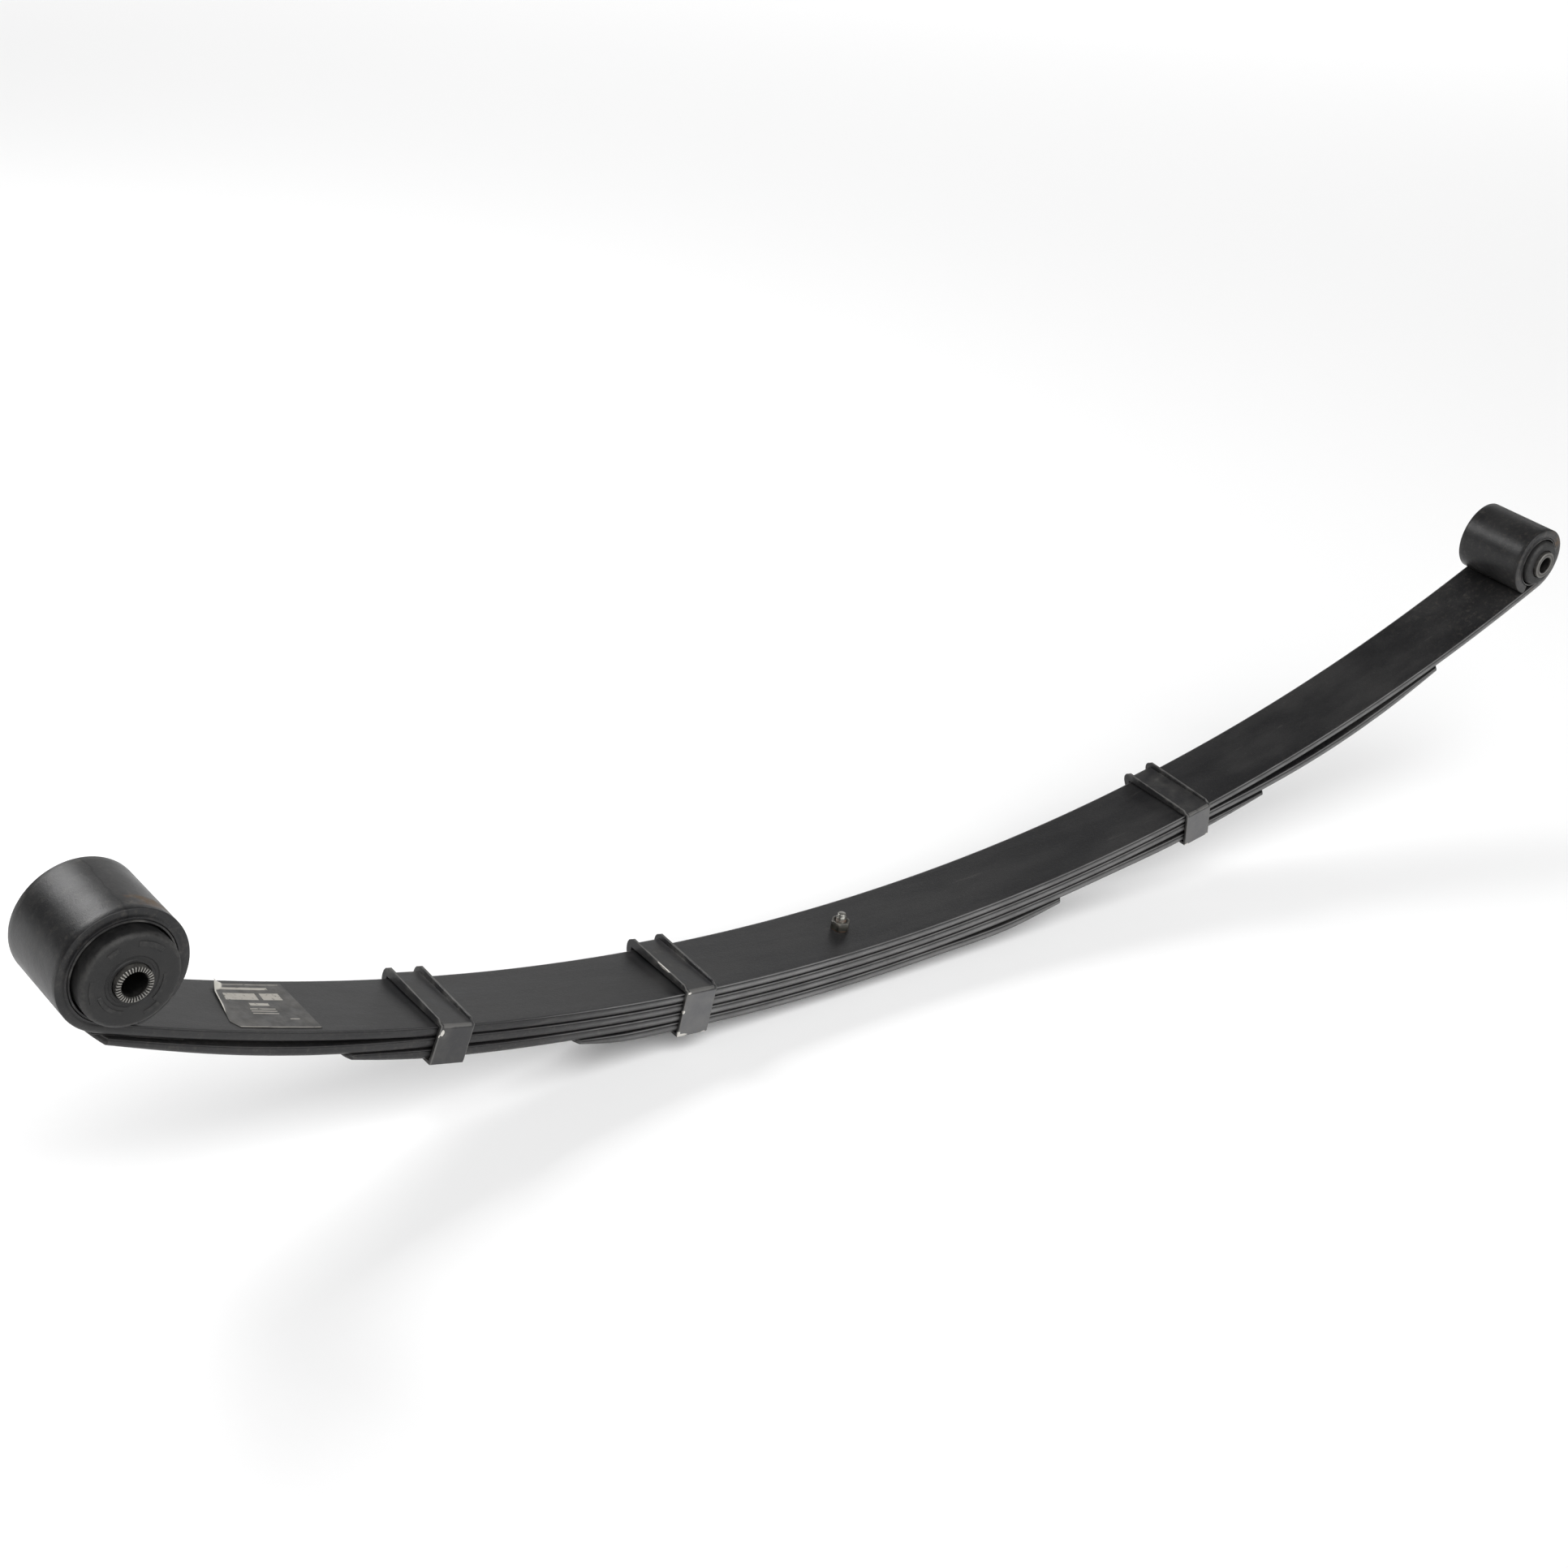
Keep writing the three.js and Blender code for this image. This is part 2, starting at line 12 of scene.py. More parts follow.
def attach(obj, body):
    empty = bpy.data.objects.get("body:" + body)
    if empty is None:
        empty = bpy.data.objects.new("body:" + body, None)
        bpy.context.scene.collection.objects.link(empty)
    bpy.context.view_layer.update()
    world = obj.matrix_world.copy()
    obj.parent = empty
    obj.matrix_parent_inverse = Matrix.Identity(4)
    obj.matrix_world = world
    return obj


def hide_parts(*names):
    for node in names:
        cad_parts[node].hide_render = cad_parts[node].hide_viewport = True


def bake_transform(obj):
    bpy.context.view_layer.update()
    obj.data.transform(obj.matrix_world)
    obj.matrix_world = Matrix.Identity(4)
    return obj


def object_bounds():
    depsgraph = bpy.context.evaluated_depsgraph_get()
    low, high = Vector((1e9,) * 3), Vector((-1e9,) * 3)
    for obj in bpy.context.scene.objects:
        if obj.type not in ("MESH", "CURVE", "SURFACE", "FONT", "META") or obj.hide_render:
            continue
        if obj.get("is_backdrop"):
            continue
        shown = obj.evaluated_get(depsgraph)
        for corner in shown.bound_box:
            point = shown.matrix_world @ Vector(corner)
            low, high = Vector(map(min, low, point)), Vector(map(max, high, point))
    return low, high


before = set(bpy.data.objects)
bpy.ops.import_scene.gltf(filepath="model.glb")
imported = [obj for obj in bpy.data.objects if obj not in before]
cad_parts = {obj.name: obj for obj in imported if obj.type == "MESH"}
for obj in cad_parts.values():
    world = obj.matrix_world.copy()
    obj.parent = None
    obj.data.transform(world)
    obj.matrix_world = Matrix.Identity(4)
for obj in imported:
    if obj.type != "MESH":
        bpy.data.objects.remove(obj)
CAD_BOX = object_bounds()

TAU = 2 * math.pi
MM = 0.001

# ---------------------------------------------------------------- sizes, as in the CAD model, in millimetres

TOP = 39.0
WIDTH = 63.5
THICK = 7.3
GAP = 0.5
LINER = 1.6
CLEAR = 0.3
SKEW = 1.4
SIDES = {
    "front": {
        "sign": -1,
        "camber": 1625.0,
        "eye_reach": 619.0,
        "eye_radius": 34.0,
        "blend": (-40.0, -545.0),
        "leaves": [
            None,
            dict(reach=617, tip=4.8, taper=185, swell_from=330, swell=1.2, trim=(7, 19), liner=True),
            dict(reach=439, tip=3.8, taper=80, swell_from=200, swell=1.0, trim=(4, 7), liner=False),
            dict(reach=257, tip=2.8, taper=60, swell_from=150, swell=0.8, trim=(4, 7), liner=False),
        ],
    },
    "rear": {
        "sign": 1,
        "camber": 1690.0,
        "eye_reach": 782.0,
        "eye_radius": 23.0,
        "blend": (60.0, 700.0),
        "leaves": [
            None,
            dict(reach=651, tip=3.0, taper=75, swell_from=290, swell=4.1, trim=(4, 5), liner=True),
            dict(reach=436, tip=2.4, taper=130, swell_from=240, swell=0.3, trim=(4, 5), liner=True),
            dict(reach=206.5, tip=4.6, taper=60, swell_from=40, swell=2.0, trim=(3, 4), liner=False),
        ],
    },
}
NAMES = ["main", "second", "third", "fourth"]
EYE_END_GAP = 0.9
CREASE = 714.0


def ease(u):
    u = min(max(u, 0.0), 1.0)
    return u * u * (3 - 2 * u)


def angle_at(side, reach):
    return side["sign"] * reach / side["camber"]


def point_at(side, reach, depth):
    a = angle_at(side, reach)
    r = side["camber"] + depth
    return Vector((r * math.sin(a), TOP + side["camber"] - r * math.cos(a)))


def thickness_at(side, index, reach):
    leaf = side["leaves"][index]
    if leaf is None:
        return THICK
    u = min(max((reach - leaf["reach"] + leaf["taper"]) / leaf["taper"], 0.0), 1.0)
    return THICK - (THICK - leaf["tip"]) * u * u


def gap_at(side, index, reach):
    leaf = side["leaves"][index]
    u = min(max((reach - leaf["swell_from"]) / (leaf["reach"] - leaf["swell_from"]), 0.0), 1.0)
    swell = leaf["swell"] * math.sin(math.pi * u**SKEW) ** 2
    room = LINER + 2 * CLEAR - GAP if leaf["liner"] else 0.0
    return GAP + swell + room * ease(2 * u)


def top_depth(side, index, reach):
    return 0.0 if index == 0 else foot_depth(side, index - 1, reach) + gap_at(side, index, reach)


def foot_depth(side, index, reach):
    return top_depth(side, index, reach) + thickness_at(side, index, reach)


def eye_centre(side):
    return point_at(side, side["eye_reach"], -side["eye_radius"])


# ---------------------------------------------------------------- mesh helpers

SMOOTH = 35  # degrees: edges sharper than this stay sharp

def new_object(name, verts, faces, uvs, masks, smooth):
    """A mesh object from millimetre coordinates. uvs: None or a (u, v) per vertex. masks: {name: values}."""
    mesh = bpy.data.meshes.new(name)
    mesh.from_pydata([tuple(c * MM for c in v) for v in verts], [], faces)
    bm = bmesh.new()
    bm.from_mesh(mesh)
    bmesh.ops.recalc_face_normals(bm, faces=bm.faces)
    bm.to_mesh(mesh)
    bm.free()
    if uvs:
        layer = mesh.uv_layers.new(name="along")
        for loop in mesh.loops:
            layer.data[loop.index].uv = uvs[loop.vertex_index]
    for key, values in masks.items():
        attribute = mesh.attributes.new(key, "FLOAT", "POINT")
        attribute.data.foreach_set("value", values)
    mesh.set_sharp_from_angle(angle=math.radians(smooth))
    for polygon in mesh.polygons:
        polygon.use_smooth = True
    obj = bpy.data.objects.new(name, mesh)
    bpy.context.scene.collection.objects.link(obj)
    return obj


def grid_faces(rows, columns, closed_rows=False):
    """Quads between closed rings of columns points. closed_rows joins the last ring to the first."""
    faces = []
    last = rows if closed_rows else rows - 1
    for i in range(last):
        k = (i + 1) % rows
        for j in range(columns):
            n = (j + 1) % columns
            faces.append((i * columns + j, i * columns + n, k * columns + n, k * columns + j))
    return faces


def capped_faces(rows, columns):
    """The quads of grid_faces with a flat face across the first and the last ring."""
    faces = grid_faces(rows, columns)
    faces.append(tuple(range(columns)))
    faces.append(tuple((rows - 1) * columns + j for j in reversed(range(columns))))
    return faces


def lathe(name, profile, centre, segments=96, smooth=SMOOTH, shape=None):
    """A closed profile of (radius, along Y, mask of worn metal and painted light and shade) turned about Y
    through centre.

    shape(row, turn) gives what to add to a point's place along Y and to its mask of worn metal and painted
    light and shade.
    """
    verts, masks, uvs = [], [], []
    rows = len(profile)
    for i, (radius, along, wear_and_painted_light) in enumerate(profile):
        for j in range(segments):
            turn = TAU * j / segments
            dy, extra = shape(i, turn) if shape else (0.0, 0.0)
            x, z = radius * math.cos(turn), radius * math.sin(turn)
            verts.append((centre[0] + x, along + dy, centre[1] + z))
            masks.append(wear_and_painted_light + extra)
            uvs.append((turn * radius * MM, along * MM))
    faces = grid_faces(rows, segments, closed_rows=True)
    return new_object(name, verts, faces, uvs, {"wear_and_painted_light": masks}, smooth)


def wobble(x, y, z, size, seed=0.0):
    """Smooth noise of -1 to 1 with features about size millimetres long."""
    return noise.noise(Vector((x / size + seed, y / size - seed, z / size + 0.37 * seed)))


# ---------------------------------------------------------------- leaves

# A leaf's edge from its top to its foot: how far in from the full half width, how deep as a share of the
# thickness, and how worn, which also paints a highlight: the burr and the round middle are painted lighter.
# The rolled bar has a thin burr at its top corner, a dark hollow below it, a full round middle and a wide
# round foot.
EDGE = [
    (1.9, 0.0, 0.0),
    (1.0, 0.004, 0.25),
    (0.5, 0.03, 1.0),
    (0.42, 0.08, 0.6),
    (0.85, 0.15, 0.0),
    (0.95, 0.22, 0.0),
    (0.55, 0.31, 0.2),
    (0.15, 0.42, 0.4),
    (0.0, 0.52, 0.45),
    (0.12, 0.63, 0.3),
    (0.35, 0.75, 0.2),
    (0.8, 0.87, 0.0),
    (1.3, 0.95, 0.0),
    (1.9, 0.988, 0.0),
    (2.5, 1.0, 0.0),
]
ACROSS = 14  # flat steps across a leaf
STATION_STEP = 6.0
TRIM_FADE = 40.0  # the cut edge of an eye starts over this length
WEAR_AND_LIGHT_FADE = (120.0, 220.0)  # where the worn edge band, partly painted highlight, starts to fade from the bolt, and over what length
BURR_GRAIN = 3.0
TIP_ROUND = 0.9
TIP_DEPTH = 0.45
EYE_STEPS = 84


def section(half, top, foot, trim):
    """A ring of (point, across, share of worn paint and painted highlight) for a strip's section. trim is 1
    where the edge is cut true and dark.
    """
    ring = []
    edge = [(inset * (1 - 0.7 * trim), share, wear_and_painted_light * (1 - 0.9 * trim)) for inset, share, wear_and_painted_light in EDGE]
    inner = half - edge[0][0]
    for k in range(ACROSS + 1):
        ring.append((-inner + 2 * inner * k / ACROSS, 0.0, 0.0))
    ring += [(half - inset, share, wear_and_painted_light) for inset, share, wear_and_painted_light in edge[1:]]
    inner = half - edge[-1][0]
    for k in range(1, ACROSS + 1):
        ring.append((inner - 2 * inner * k / ACROSS, 1.0, 0.0))
    ring += [(-(half - inset), share, wear_and_painted_light) for inset, share, wear_and_painted_light in reversed(edge[1:-1])]
    return [(top + (foot - top) * share, y, wear_and_painted_light) for y, share, wear_and_painted_light in ring]


def strip(name, stations, grime=None, rough=0.0, trim_from=None, fade=0.0):
    """A strip lofted through stations of (distance along, half width, top point, foot point).

    rough is the burr's unevenness, trim_from where an eye's cut edge starts, fade how much of the worn edge
    band and its painted highlight is lost.
    """
    verts, uvs, wear_and_light_values, grimes = [], [], [], []
    for along, half, top, foot in stations:
        ring = section(half, top, foot, ease((along - trim_from) / TRIM_FADE) if trim_from else 0.0)
        for index, (p, y, wear_and_painted_light) in enumerate(ring):
            x, z = p
            if rough:
                y += math.copysign(1, y) * rough * wobble(x, y, z, BURR_GRAIN, 5) * (abs(y) > half - 1)
            verts.append((x, y, z))
            uvs.append((along * MM, y * MM))
            wear_and_light_values.append(wear_and_painted_light * (1 - fade * ease((along - WEAR_AND_LIGHT_FADE[0]) / WEAR_AND_LIGHT_FADE[1])))
            grimes.append(grime(x, y, z, along) if grime else 0.0)
    faces = capped_faces(len(stations), len(ring))
    return new_object(name, verts, faces, uvs, {"wear_and_painted_light": wear_and_light_values, "grime": grimes}, SMOOTH)


def reaches_to(end, extra=()):
    """Evenly spaced reaches from the centre bolt to end, with the extra ones among them."""
    count = max(2, math.ceil(end / STATION_STEP))
    return sorted({end * i / count for i in range(count + 1)} | set(extra))


def lower_stations(side, index):
    """Stations of a lower leaf from the centre bolt to its trimmed tip, whose end is slightly rounded."""
    leaf = side["leaves"][index]
    reach = leaf["reach"]
    along, across = leaf["trim"]
    extra = [reach - along * part for part in (1.0, 0.75, 0.5, 0.25)] + [reach - TIP_ROUND, reach - 0.35]
    stations = []
    for r in reaches_to(reach, extra=extra):
        u = min(max((r - (reach - along)) / along, 0.0), 1.0)
        half = WIDTH / 2 - across * (1 - math.sqrt(1 - u**1.5)) * 0.5 - across * 0.5 * u
        top = point_at(side, r, top_depth(side, index, r))
        foot = point_at(side, r, foot_depth(side, index, r))
        round_off = max(0.0, (r - (reach - TIP_ROUND)) / TIP_ROUND) ** 2 * TIP_DEPTH
        normal = (foot - top).normalized()
        stations.append((r, half, top + normal * round_off, foot - normal * round_off))
    return stations


def main_stations(side):
    """Stations of the main leaf from the centre bolt out along its arm and round its eye."""
    stations = []
    for r in reaches_to(side["eye_reach"]):
        stations.append((r, WIDTH / 2, point_at(side, r, 0.0), point_at(side, r, THICK)))
    radius, wall = side["eye_radius"], side["eye_radius"] + THICK
    centre, tilt = eye_centre(side), angle_at(side, side["eye_reach"])
    end = TAU - math.acos((radius - EYE_END_GAP) / wall)
    for i in range(1, EYE_STEPS + 1):
        turn = end * i / EYE_STEPS
        a = side["sign"] * turn + tilt - math.pi / 2
        out = Vector((math.cos(a), math.sin(a)))
        inset = 0.5 * max(0.0, (i - EYE_STEPS + 1.0)) ** 2
        along = side["eye_reach"] + turn * radius
        stations.append((along, WIDTH / 2, centre + out * (radius + inset), centre + out * (wall - inset)))
    return stations


# ---------------------------------------------------------------- materials


class Nodes:
    """A material's node tree, with short calls for the nodes that the materials here use."""

    def __init__(self, name):
        self.material = bpy.data.materials.new(name)
        self.material.use_nodes = True
        self.tree = self.material.node_tree
        self.shader = self.tree.nodes["Principled BSDF"]
        self.place = self.tree.nodes.new("ShaderNodeTexCoord").outputs["Object"]

    def link(self, source, target):
        """Feeds a socket from a number, a color of three numbers or another node's output."""
        if isinstance(source, (int, float)):
            target.default_value = source
        elif isinstance(source, tuple):
            target.default_value = (*source, 1.0)
        else:
            self.tree.links.new(source, target)

    def stretch(self, scale):
        """The place, scaled. Features come out long where the scale is small."""
        node = self.tree.nodes.new("ShaderNodeMapping")
        node.inputs["Scale"].default_value = scale
        self.link(self.place, node.inputs["Vector"])
        return node.outputs["Vector"]

    def noise(self, scale, detail=4.0, rough=0.55, vector=None):
        node = self.tree.nodes.new("ShaderNodeTexNoise")
        node.inputs["Scale"].default_value = scale
        node.inputs["Detail"].default_value = detail
        node.inputs["Roughness"].default_value = rough
        self.link(vector or self.place, node.inputs["Vector"])
        return node.outputs["Fac"]

    def ramp(self, source, low, high, start=0.0, end=1.0):
        """A smooth step from start at low to end at high."""
        node = self.tree.nodes.new("ShaderNodeMapRange")
        node.interpolation_type = "SMOOTHSTEP"
        for key, value in zip(("From Min", "From Max", "To Min", "To Max"), (low, high, start, end)):
            node.inputs[key].default_value = value
        self.link(source, node.inputs["Value"])
        return node.outputs["Result"]

    def math(self, operation, a, b=0.0, clamp=False):
        node = self.tree.nodes.new("ShaderNodeMath")
        node.operation = operation
        node.use_clamp = clamp
        self.link(a, node.inputs[0])
        self.link(b, node.inputs[1])
        return node.outputs[0]

    def mix(self, factor, a, b):
        """Color a where factor is 0 and b where it is 1. The node has same-named sockets for other types."""
        node = self.tree.nodes.new("ShaderNodeMix")
        node.data_type = "RGBA"
        color_a, color_b, color_out = 6, 7, 2
        self.link(factor, node.inputs[0])
        self.link(a, node.inputs[color_a])
        self.link(b, node.inputs[color_b])
        return node.outputs[color_out]

    def attribute(self, name):
        node = self.tree.nodes.new("ShaderNodeAttribute")
        node.attribute_name = name
        return node.outputs["Fac"]

    def uv(self):
        return self.tree.nodes["Texture Coordinate"].outputs["UV"]

    def split(self, vector):
        node = self.tree.nodes.new("ShaderNodeSeparateXYZ")
        self.link(vector, node.inputs[0])
        return node.outputs

    def bump(self, *layers):
        """layers: (height, strength, distance in metres)."""
        before = None
        for height, strength, distance in layers:
            node = self.tree.nodes.new("ShaderNodeBump")
            node.inputs["Strength"].default_value = strength
            node.inputs["Distance"].default_value = distance
            self.link(height, node.inputs["Height"])
            if before is not None:
                self.link(before, node.inputs["Normal"])
            before = node.outputs["Normal"]
        self.link(before, self.shader.inputs["Normal"])

    def finish(self, color, roughness, metallic=0.0, specular=0.5):
        self.link(color, self.shader.inputs["Base Color"])
        self.link(roughness, self.shader.inputs["Roughness"])
        self.link(metallic, self.shader.inputs["Metallic"])
        self.shader.inputs["Specular IOR Level"].default_value = specular
        return self.material


def leaf_paint():
    """Thin satin black paint on rolled steel: fine grain, soft mottling, worn burrs and edges that also carry
    a painted highlight, a crack of painted shade and some brown dirt.
    """
    n = Nodes("leaf_paint")
    along = n.stretch((0.25, 1.0, 1.0))
    mottle = n.noise(26.0, 5.0, 0.6, along)
    fine = n.noise(1500.0, 3.0, 0.6)
    grain = n.noise(420.0, 4.0, 0.65)
    black, grey = (0.0095, 0.0095, 0.0102), (0.021, 0.0205, 0.0205)
    speck_grey, scratch_grey = (0.085, 0.08, 0.075), (0.07, 0.067, 0.062)
    brown, dust_tan = (0.085, 0.055, 0.032), (0.21, 0.185, 0.155)
    rubbed_and_lit_grey, bare_steel = (0.15, 0.149, 0.148), (0.3, 0.29, 0.27)
    color = n.mix(n.ramp(mottle, 0.35, 0.7), black, grey)
    speck = n.ramp(n.noise(900.0, 2.0, 0.5), 0.66, 0.74)
    color = n.mix(n.math("MULTIPLY", speck, 0.35), color, speck_grey)
    scratches = n.noise(160.0, 2.0, 0.5, n.stretch((0.06, 1.3, 1.0)))
    color = n.mix(n.ramp(scratches, 0.68, 0.78, 0.0, 0.25), color, scratch_grey)
    grime = n.attribute("grime")
    patch = n.ramp(n.math("ADD", n.math("MULTIPLY", n.noise(110.0, 6.0, 0.7), 0.9), grime), 0.9, 1.2)
    color = n.mix(patch, color, brown)
    dusty = n.ramp(n.noise(230.0, 4.0, 0.7), 0.5, 0.72)
    dust = n.math("MULTIPLY", dusty, n.math("MULTIPLY", grime, 0.4), True)
    color = n.mix(dust, color, dust_tan)
    # A thin crack across the front eye's top, drawn as painted shade: a near-black line, also dented by the
    # bump.
    drift = n.math("MULTIPLY", n.math("SUBTRACT", n.noise(45.0, 4.0, 0.6), 0.5), 0.008)
    off = n.math("ABSOLUTE", n.math("SUBTRACT", n.math("ADD", n.split(n.uv())[0], drift), CREASE * MM))
    front = n.math("LESS_THAN", n.split(n.place)[0], 0.0)
    crease = n.math("MULTIPLY", front, n.ramp(off, 0.0002, 0.0007, 1.0, 0.0))
    color = n.mix(n.math("MULTIPLY", crease, 0.8), color, (0.003, 0.003, 0.003))
    wear_and_painted_light = n.attribute("wear_and_painted_light")
    broken = n.noise(130.0, 3.0, 0.7, n.stretch((1.0, 0.4, 1.0)))
    uneven = n.ramp(n.noise(60.0, 5.0, 0.7, n.stretch((0.5, 1.0, 1.6))), 0.3, 0.7, 0.55, 1.0)
    # Worn paint and painted highlight: the burr and the round middle of each edge are painted a lighter grey.
    rubbed_and_lit = n.math("MULTIPLY", n.ramp(wear_and_painted_light, 0.0, 0.5), uneven)
    color = n.mix(rubbed_and_lit, color, rubbed_and_lit_grey)
    worn = n.ramp(n.math("ADD", n.math("MULTIPLY", wear_and_painted_light, 0.24), broken), 0.88, 0.94)
    color = n.mix(n.math("MULTIPLY", worn, 0.8), color, bare_steel)
    roughness = n.math("ADD", n.ramp(mottle, 0.3, 0.75, 0.33, 0.45), n.math("MULTIPLY", patch, 0.25), True)
    broad = n.noise(40.0, 3.0, 0.5, along)
    n.bump((fine, 0.4, 0.0002), (grain, 0.18, 0.0005), (broad, 0.12, 0.003), (crease, -0.5, 0.0004))
    return n.finish(color, roughness, n.math("MULTIPLY", worn, 0.6), 0.34)


def clip_paint():
    """Dark grey painted strip steel with painted light on it: its side plates are painted paler than its top.
    It has chips through to bright metal.
    """
    n = Nodes("clip_paint")
    cloud = n.noise(70.0, 4.0, 0.6)
    dark = n.mix(n.ramp(cloud, 0.35, 0.7), (0.019, 0.019, 0.020), (0.034, 0.033, 0.032))
    # Painted light: the side plates get this paler grey, the top keeps the dark one.
    pale = n.mix(n.ramp(cloud, 0.35, 0.7), (0.085, 0.085, 0.088), (0.11, 0.109, 0.108))
    color = n.mix(n.attribute("painted_side_light"), dark, pale)
    wear_and_painted_light = n.attribute("wear_and_painted_light")
    # Worn paint and painted highlight: the flange tops and the strap's edges are painted lighter.
    rubbed_and_lit = n.math("MULTIPLY", n.ramp(n.math("ADD", n.math("MULTIPLY", wear_and_painted_light, 0.45), cloud), 0.6, 0.85), 0.8)
    color = n.mix(rubbed_and_lit, color, (0.1, 0.098, 0.094))
    small = n.ramp(n.math("ADD", n.math("MULTIPLY", wear_and_painted_light, 0.16), n.noise(240.0, 3.0, 0.6)), 0.84, 0.9)
    chips = n.attribute("chip")
    ragged = n.ramp(n.math("ADD", chips, n.math("MULTIPLY", n.noise(330.0, 4.0, 0.7), 0.5)), 0.83, 0.9)
    bright = n.math("MAXIMUM", n.math("MULTIPLY", small, 0.7), ragged)
    color = n.mix(bright, color, (0.62, 0.6, 0.56))
    roughness = n.ramp(cloud, 0.3, 0.7, 0.34, 0.5)
    fine, grain = n.noise(1300.0, 3.0, 0.6), n.noise(300.0, 3.0, 0.6)
    n.bump((fine, 0.3, 0.0002), (grain, 0.2, 0.0005), (bright, -0.5, 0.0002))
    return n.finish(color, roughness, n.math("MULTIPLY", bright, 0.8), 0.32)


def rubber():
    """Black moulded rubber with a dusty bloom on its worn edges."""
    n = Nodes("bush_rubber")
    cloud = n.noise(90.0, 5.0, 0.65)
    color = n.mix(n.ramp(cloud, 0.35, 0.7), (0.006, 0.006, 0.0062), (0.014, 0.0138, 0.0135))
    wear_and_painted_light = n.attribute("wear_and_painted_light")
    bloom = n.ramp(n.math("ADD", n.math("MULTIPLY", wear_and_painted_light, 0.4), n.noise(300.0, 4.0, 0.7)), 0.62, 0.9)
    color = n.mix(n.math("MULTIPLY", bloom, 0.35), color, (0.05, 0.048, 0.045))
    roughness = n.ramp(cloud, 0.3, 0.7, 0.5, 0.7)
    n.bump((n.noise(900.0, 4.0, 0.65), 0.35, 0.0003), (n.noise(140.0, 3.0, 0.5), 0.2, 0.001))
    return n.finish(color, roughness, 0.0, 0.4)


def plate(name, dark, light, rust, rust_amount, rough=(0.3, 0.5), metal=0.85):
    """Bare or plated steel: cloudy grey, rusty where the rust mask or the noise is high.

    It is bright as worn metal where its mask is above 0, and near black as painted shade where the mask is
    well below 0, in bores and between teeth.
    """
    n = Nodes(name)
    cloud = n.noise(180.0, 5.0, 0.65)
    color = n.mix(n.ramp(cloud, 0.35, 0.68), dark, light)
    ring = n.attribute("rust")
    stain = n.ramp(n.math("ADD", ring, n.noise(260.0, 5.0, 0.7)), 1.0 - rust_amount, 1.25 - rust_amount)
    color = n.mix(stain, color, rust)
    wear_and_painted_light = n.attribute("wear_and_painted_light")
    color = n.mix(n.math("MULTIPLY", wear_and_painted_light, 0.6, True), color, (0.75, 0.73, 0.68))
    # Painted shade: near black where the mask is well below 0.
    color = n.mix(n.ramp(wear_and_painted_light, -1.0, -0.2, 0.93, 0.0), color, (0.004, 0.004, 0.004))
    roughness = n.math("ADD", n.ramp(cloud, 0.3, 0.7, *rough), n.math("MULTIPLY", stain, 0.3), True)
    n.bump((n.noise(1200.0, 3.0, 0.6), 0.3, 0.0002), (stain, 0.3, 0.0002))
    return n.finish(color, roughness, n.math("MULTIPLY", n.math("SUBTRACT", 1.0, stain), metal), 0.5)


def liner_plastic():
    """Black plastic, dusty in places."""
    n = Nodes("liner_plastic")
    cloud = n.ramp(n.noise(120.0, 4.0, 0.6), 0.35, 0.7)
    color = n.mix(cloud, (0.011, 0.011, 0.011), (0.035, 0.033, 0.031))
    n.bump((n.noise(1000.0, 3.0, 0.6), 0.3, 0.0002))
    return n.finish(color, n.ramp(n.noise(200.0), 0.3, 0.7, 0.5, 0.65), 0.0, 0.4)


LEAF = leaf_paint()
CLIP = clip_paint()
RUBBER = rubber()
ZINC = plate("plated_steel", (0.07, 0.072, 0.064), (0.2, 0.2, 0.18), (0.07, 0.035, 0.018), 0.3, (0.25, 0.4))
NUT = plate(
    "nut_steel", (0.02, 0.0195, 0.017), (0.06, 0.058, 0.048), (0.06, 0.03, 0.015), 0.4, (0.4, 0.6), 0.5
)
SLEEVE = plate(
    "sleeve_steel", (0.05, 0.048, 0.046), (0.15, 0.145, 0.135), (0.05, 0.03, 0.02), 0.3, (0.35, 0.5), 0.7
)
DULL_SLEEVE = plate(
    "dull_sleeve", (0.02, 0.019, 0.018), (0.06, 0.057, 0.052), (0.05, 0.03, 0.02), 0.35, (0.4, 0.6), 0.5
)
PLASTIC = liner_plastic()


def dress(obj, material, slot, *nodes):
    """Gives a piece its material and hides the CAD nodes it stands for. slot is not used."""
    obj.data.materials.append(material)
    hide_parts(*nodes)


def bend_with(obj, place, leaf):
    """Bakes the piece's transform into its mesh. The side's blend span is looked up but not used, and leaf is
    not used.
    """
    start, end = SIDES[place]["blend"]
    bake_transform(obj)


# ---------------------------------------------------------------- pieces: leaves and liners


LEAF_EDGE_DIRT = 32.0
BURR_ROUGHNESS = {"main": 0.04, "second": 0.04, "third": 0.12, "fourth": 0.04}
# How much of the lighter edge band, worn paint and painted highlight, each half loses away from the bolt.
WEAR_AND_LIGHT_LOST = {"front": 0.85, "rear": 0.15}


def main_grime(place):
    """Dirt on the main leaf: along its edges, round the centre bolt and on its eye."""

    def grime(x, y, z, along):
        value = 0.12 * (abs(y) / LEAF_EDGE_DIRT) ** 3 + 0.45 * (1 - ease((math.hypot(along, y) - 7) / 6))
        if place == "rear":
            value += 0.34 * ease((along - 600) / 180) * (1 - ease((along - 800) / 60))
            value += 0.2 * ease((along - 800) / 30)
        else:
            value += 0.16 * ease((along - 640) / 40)
            near_rim = ease((-y - 6) / 12) * (1 - ease((-y - 25) / 5))
            value += 0.42 * ease((along - 705) / 20) * (1 - ease((along - 748) / 14)) * near_rim
        return value

    return grime


def lower_grime(x, y, z, along):
    return 0.1 + 0.15 * (abs(y) / LEAF_EDGE_DIRT) ** 3


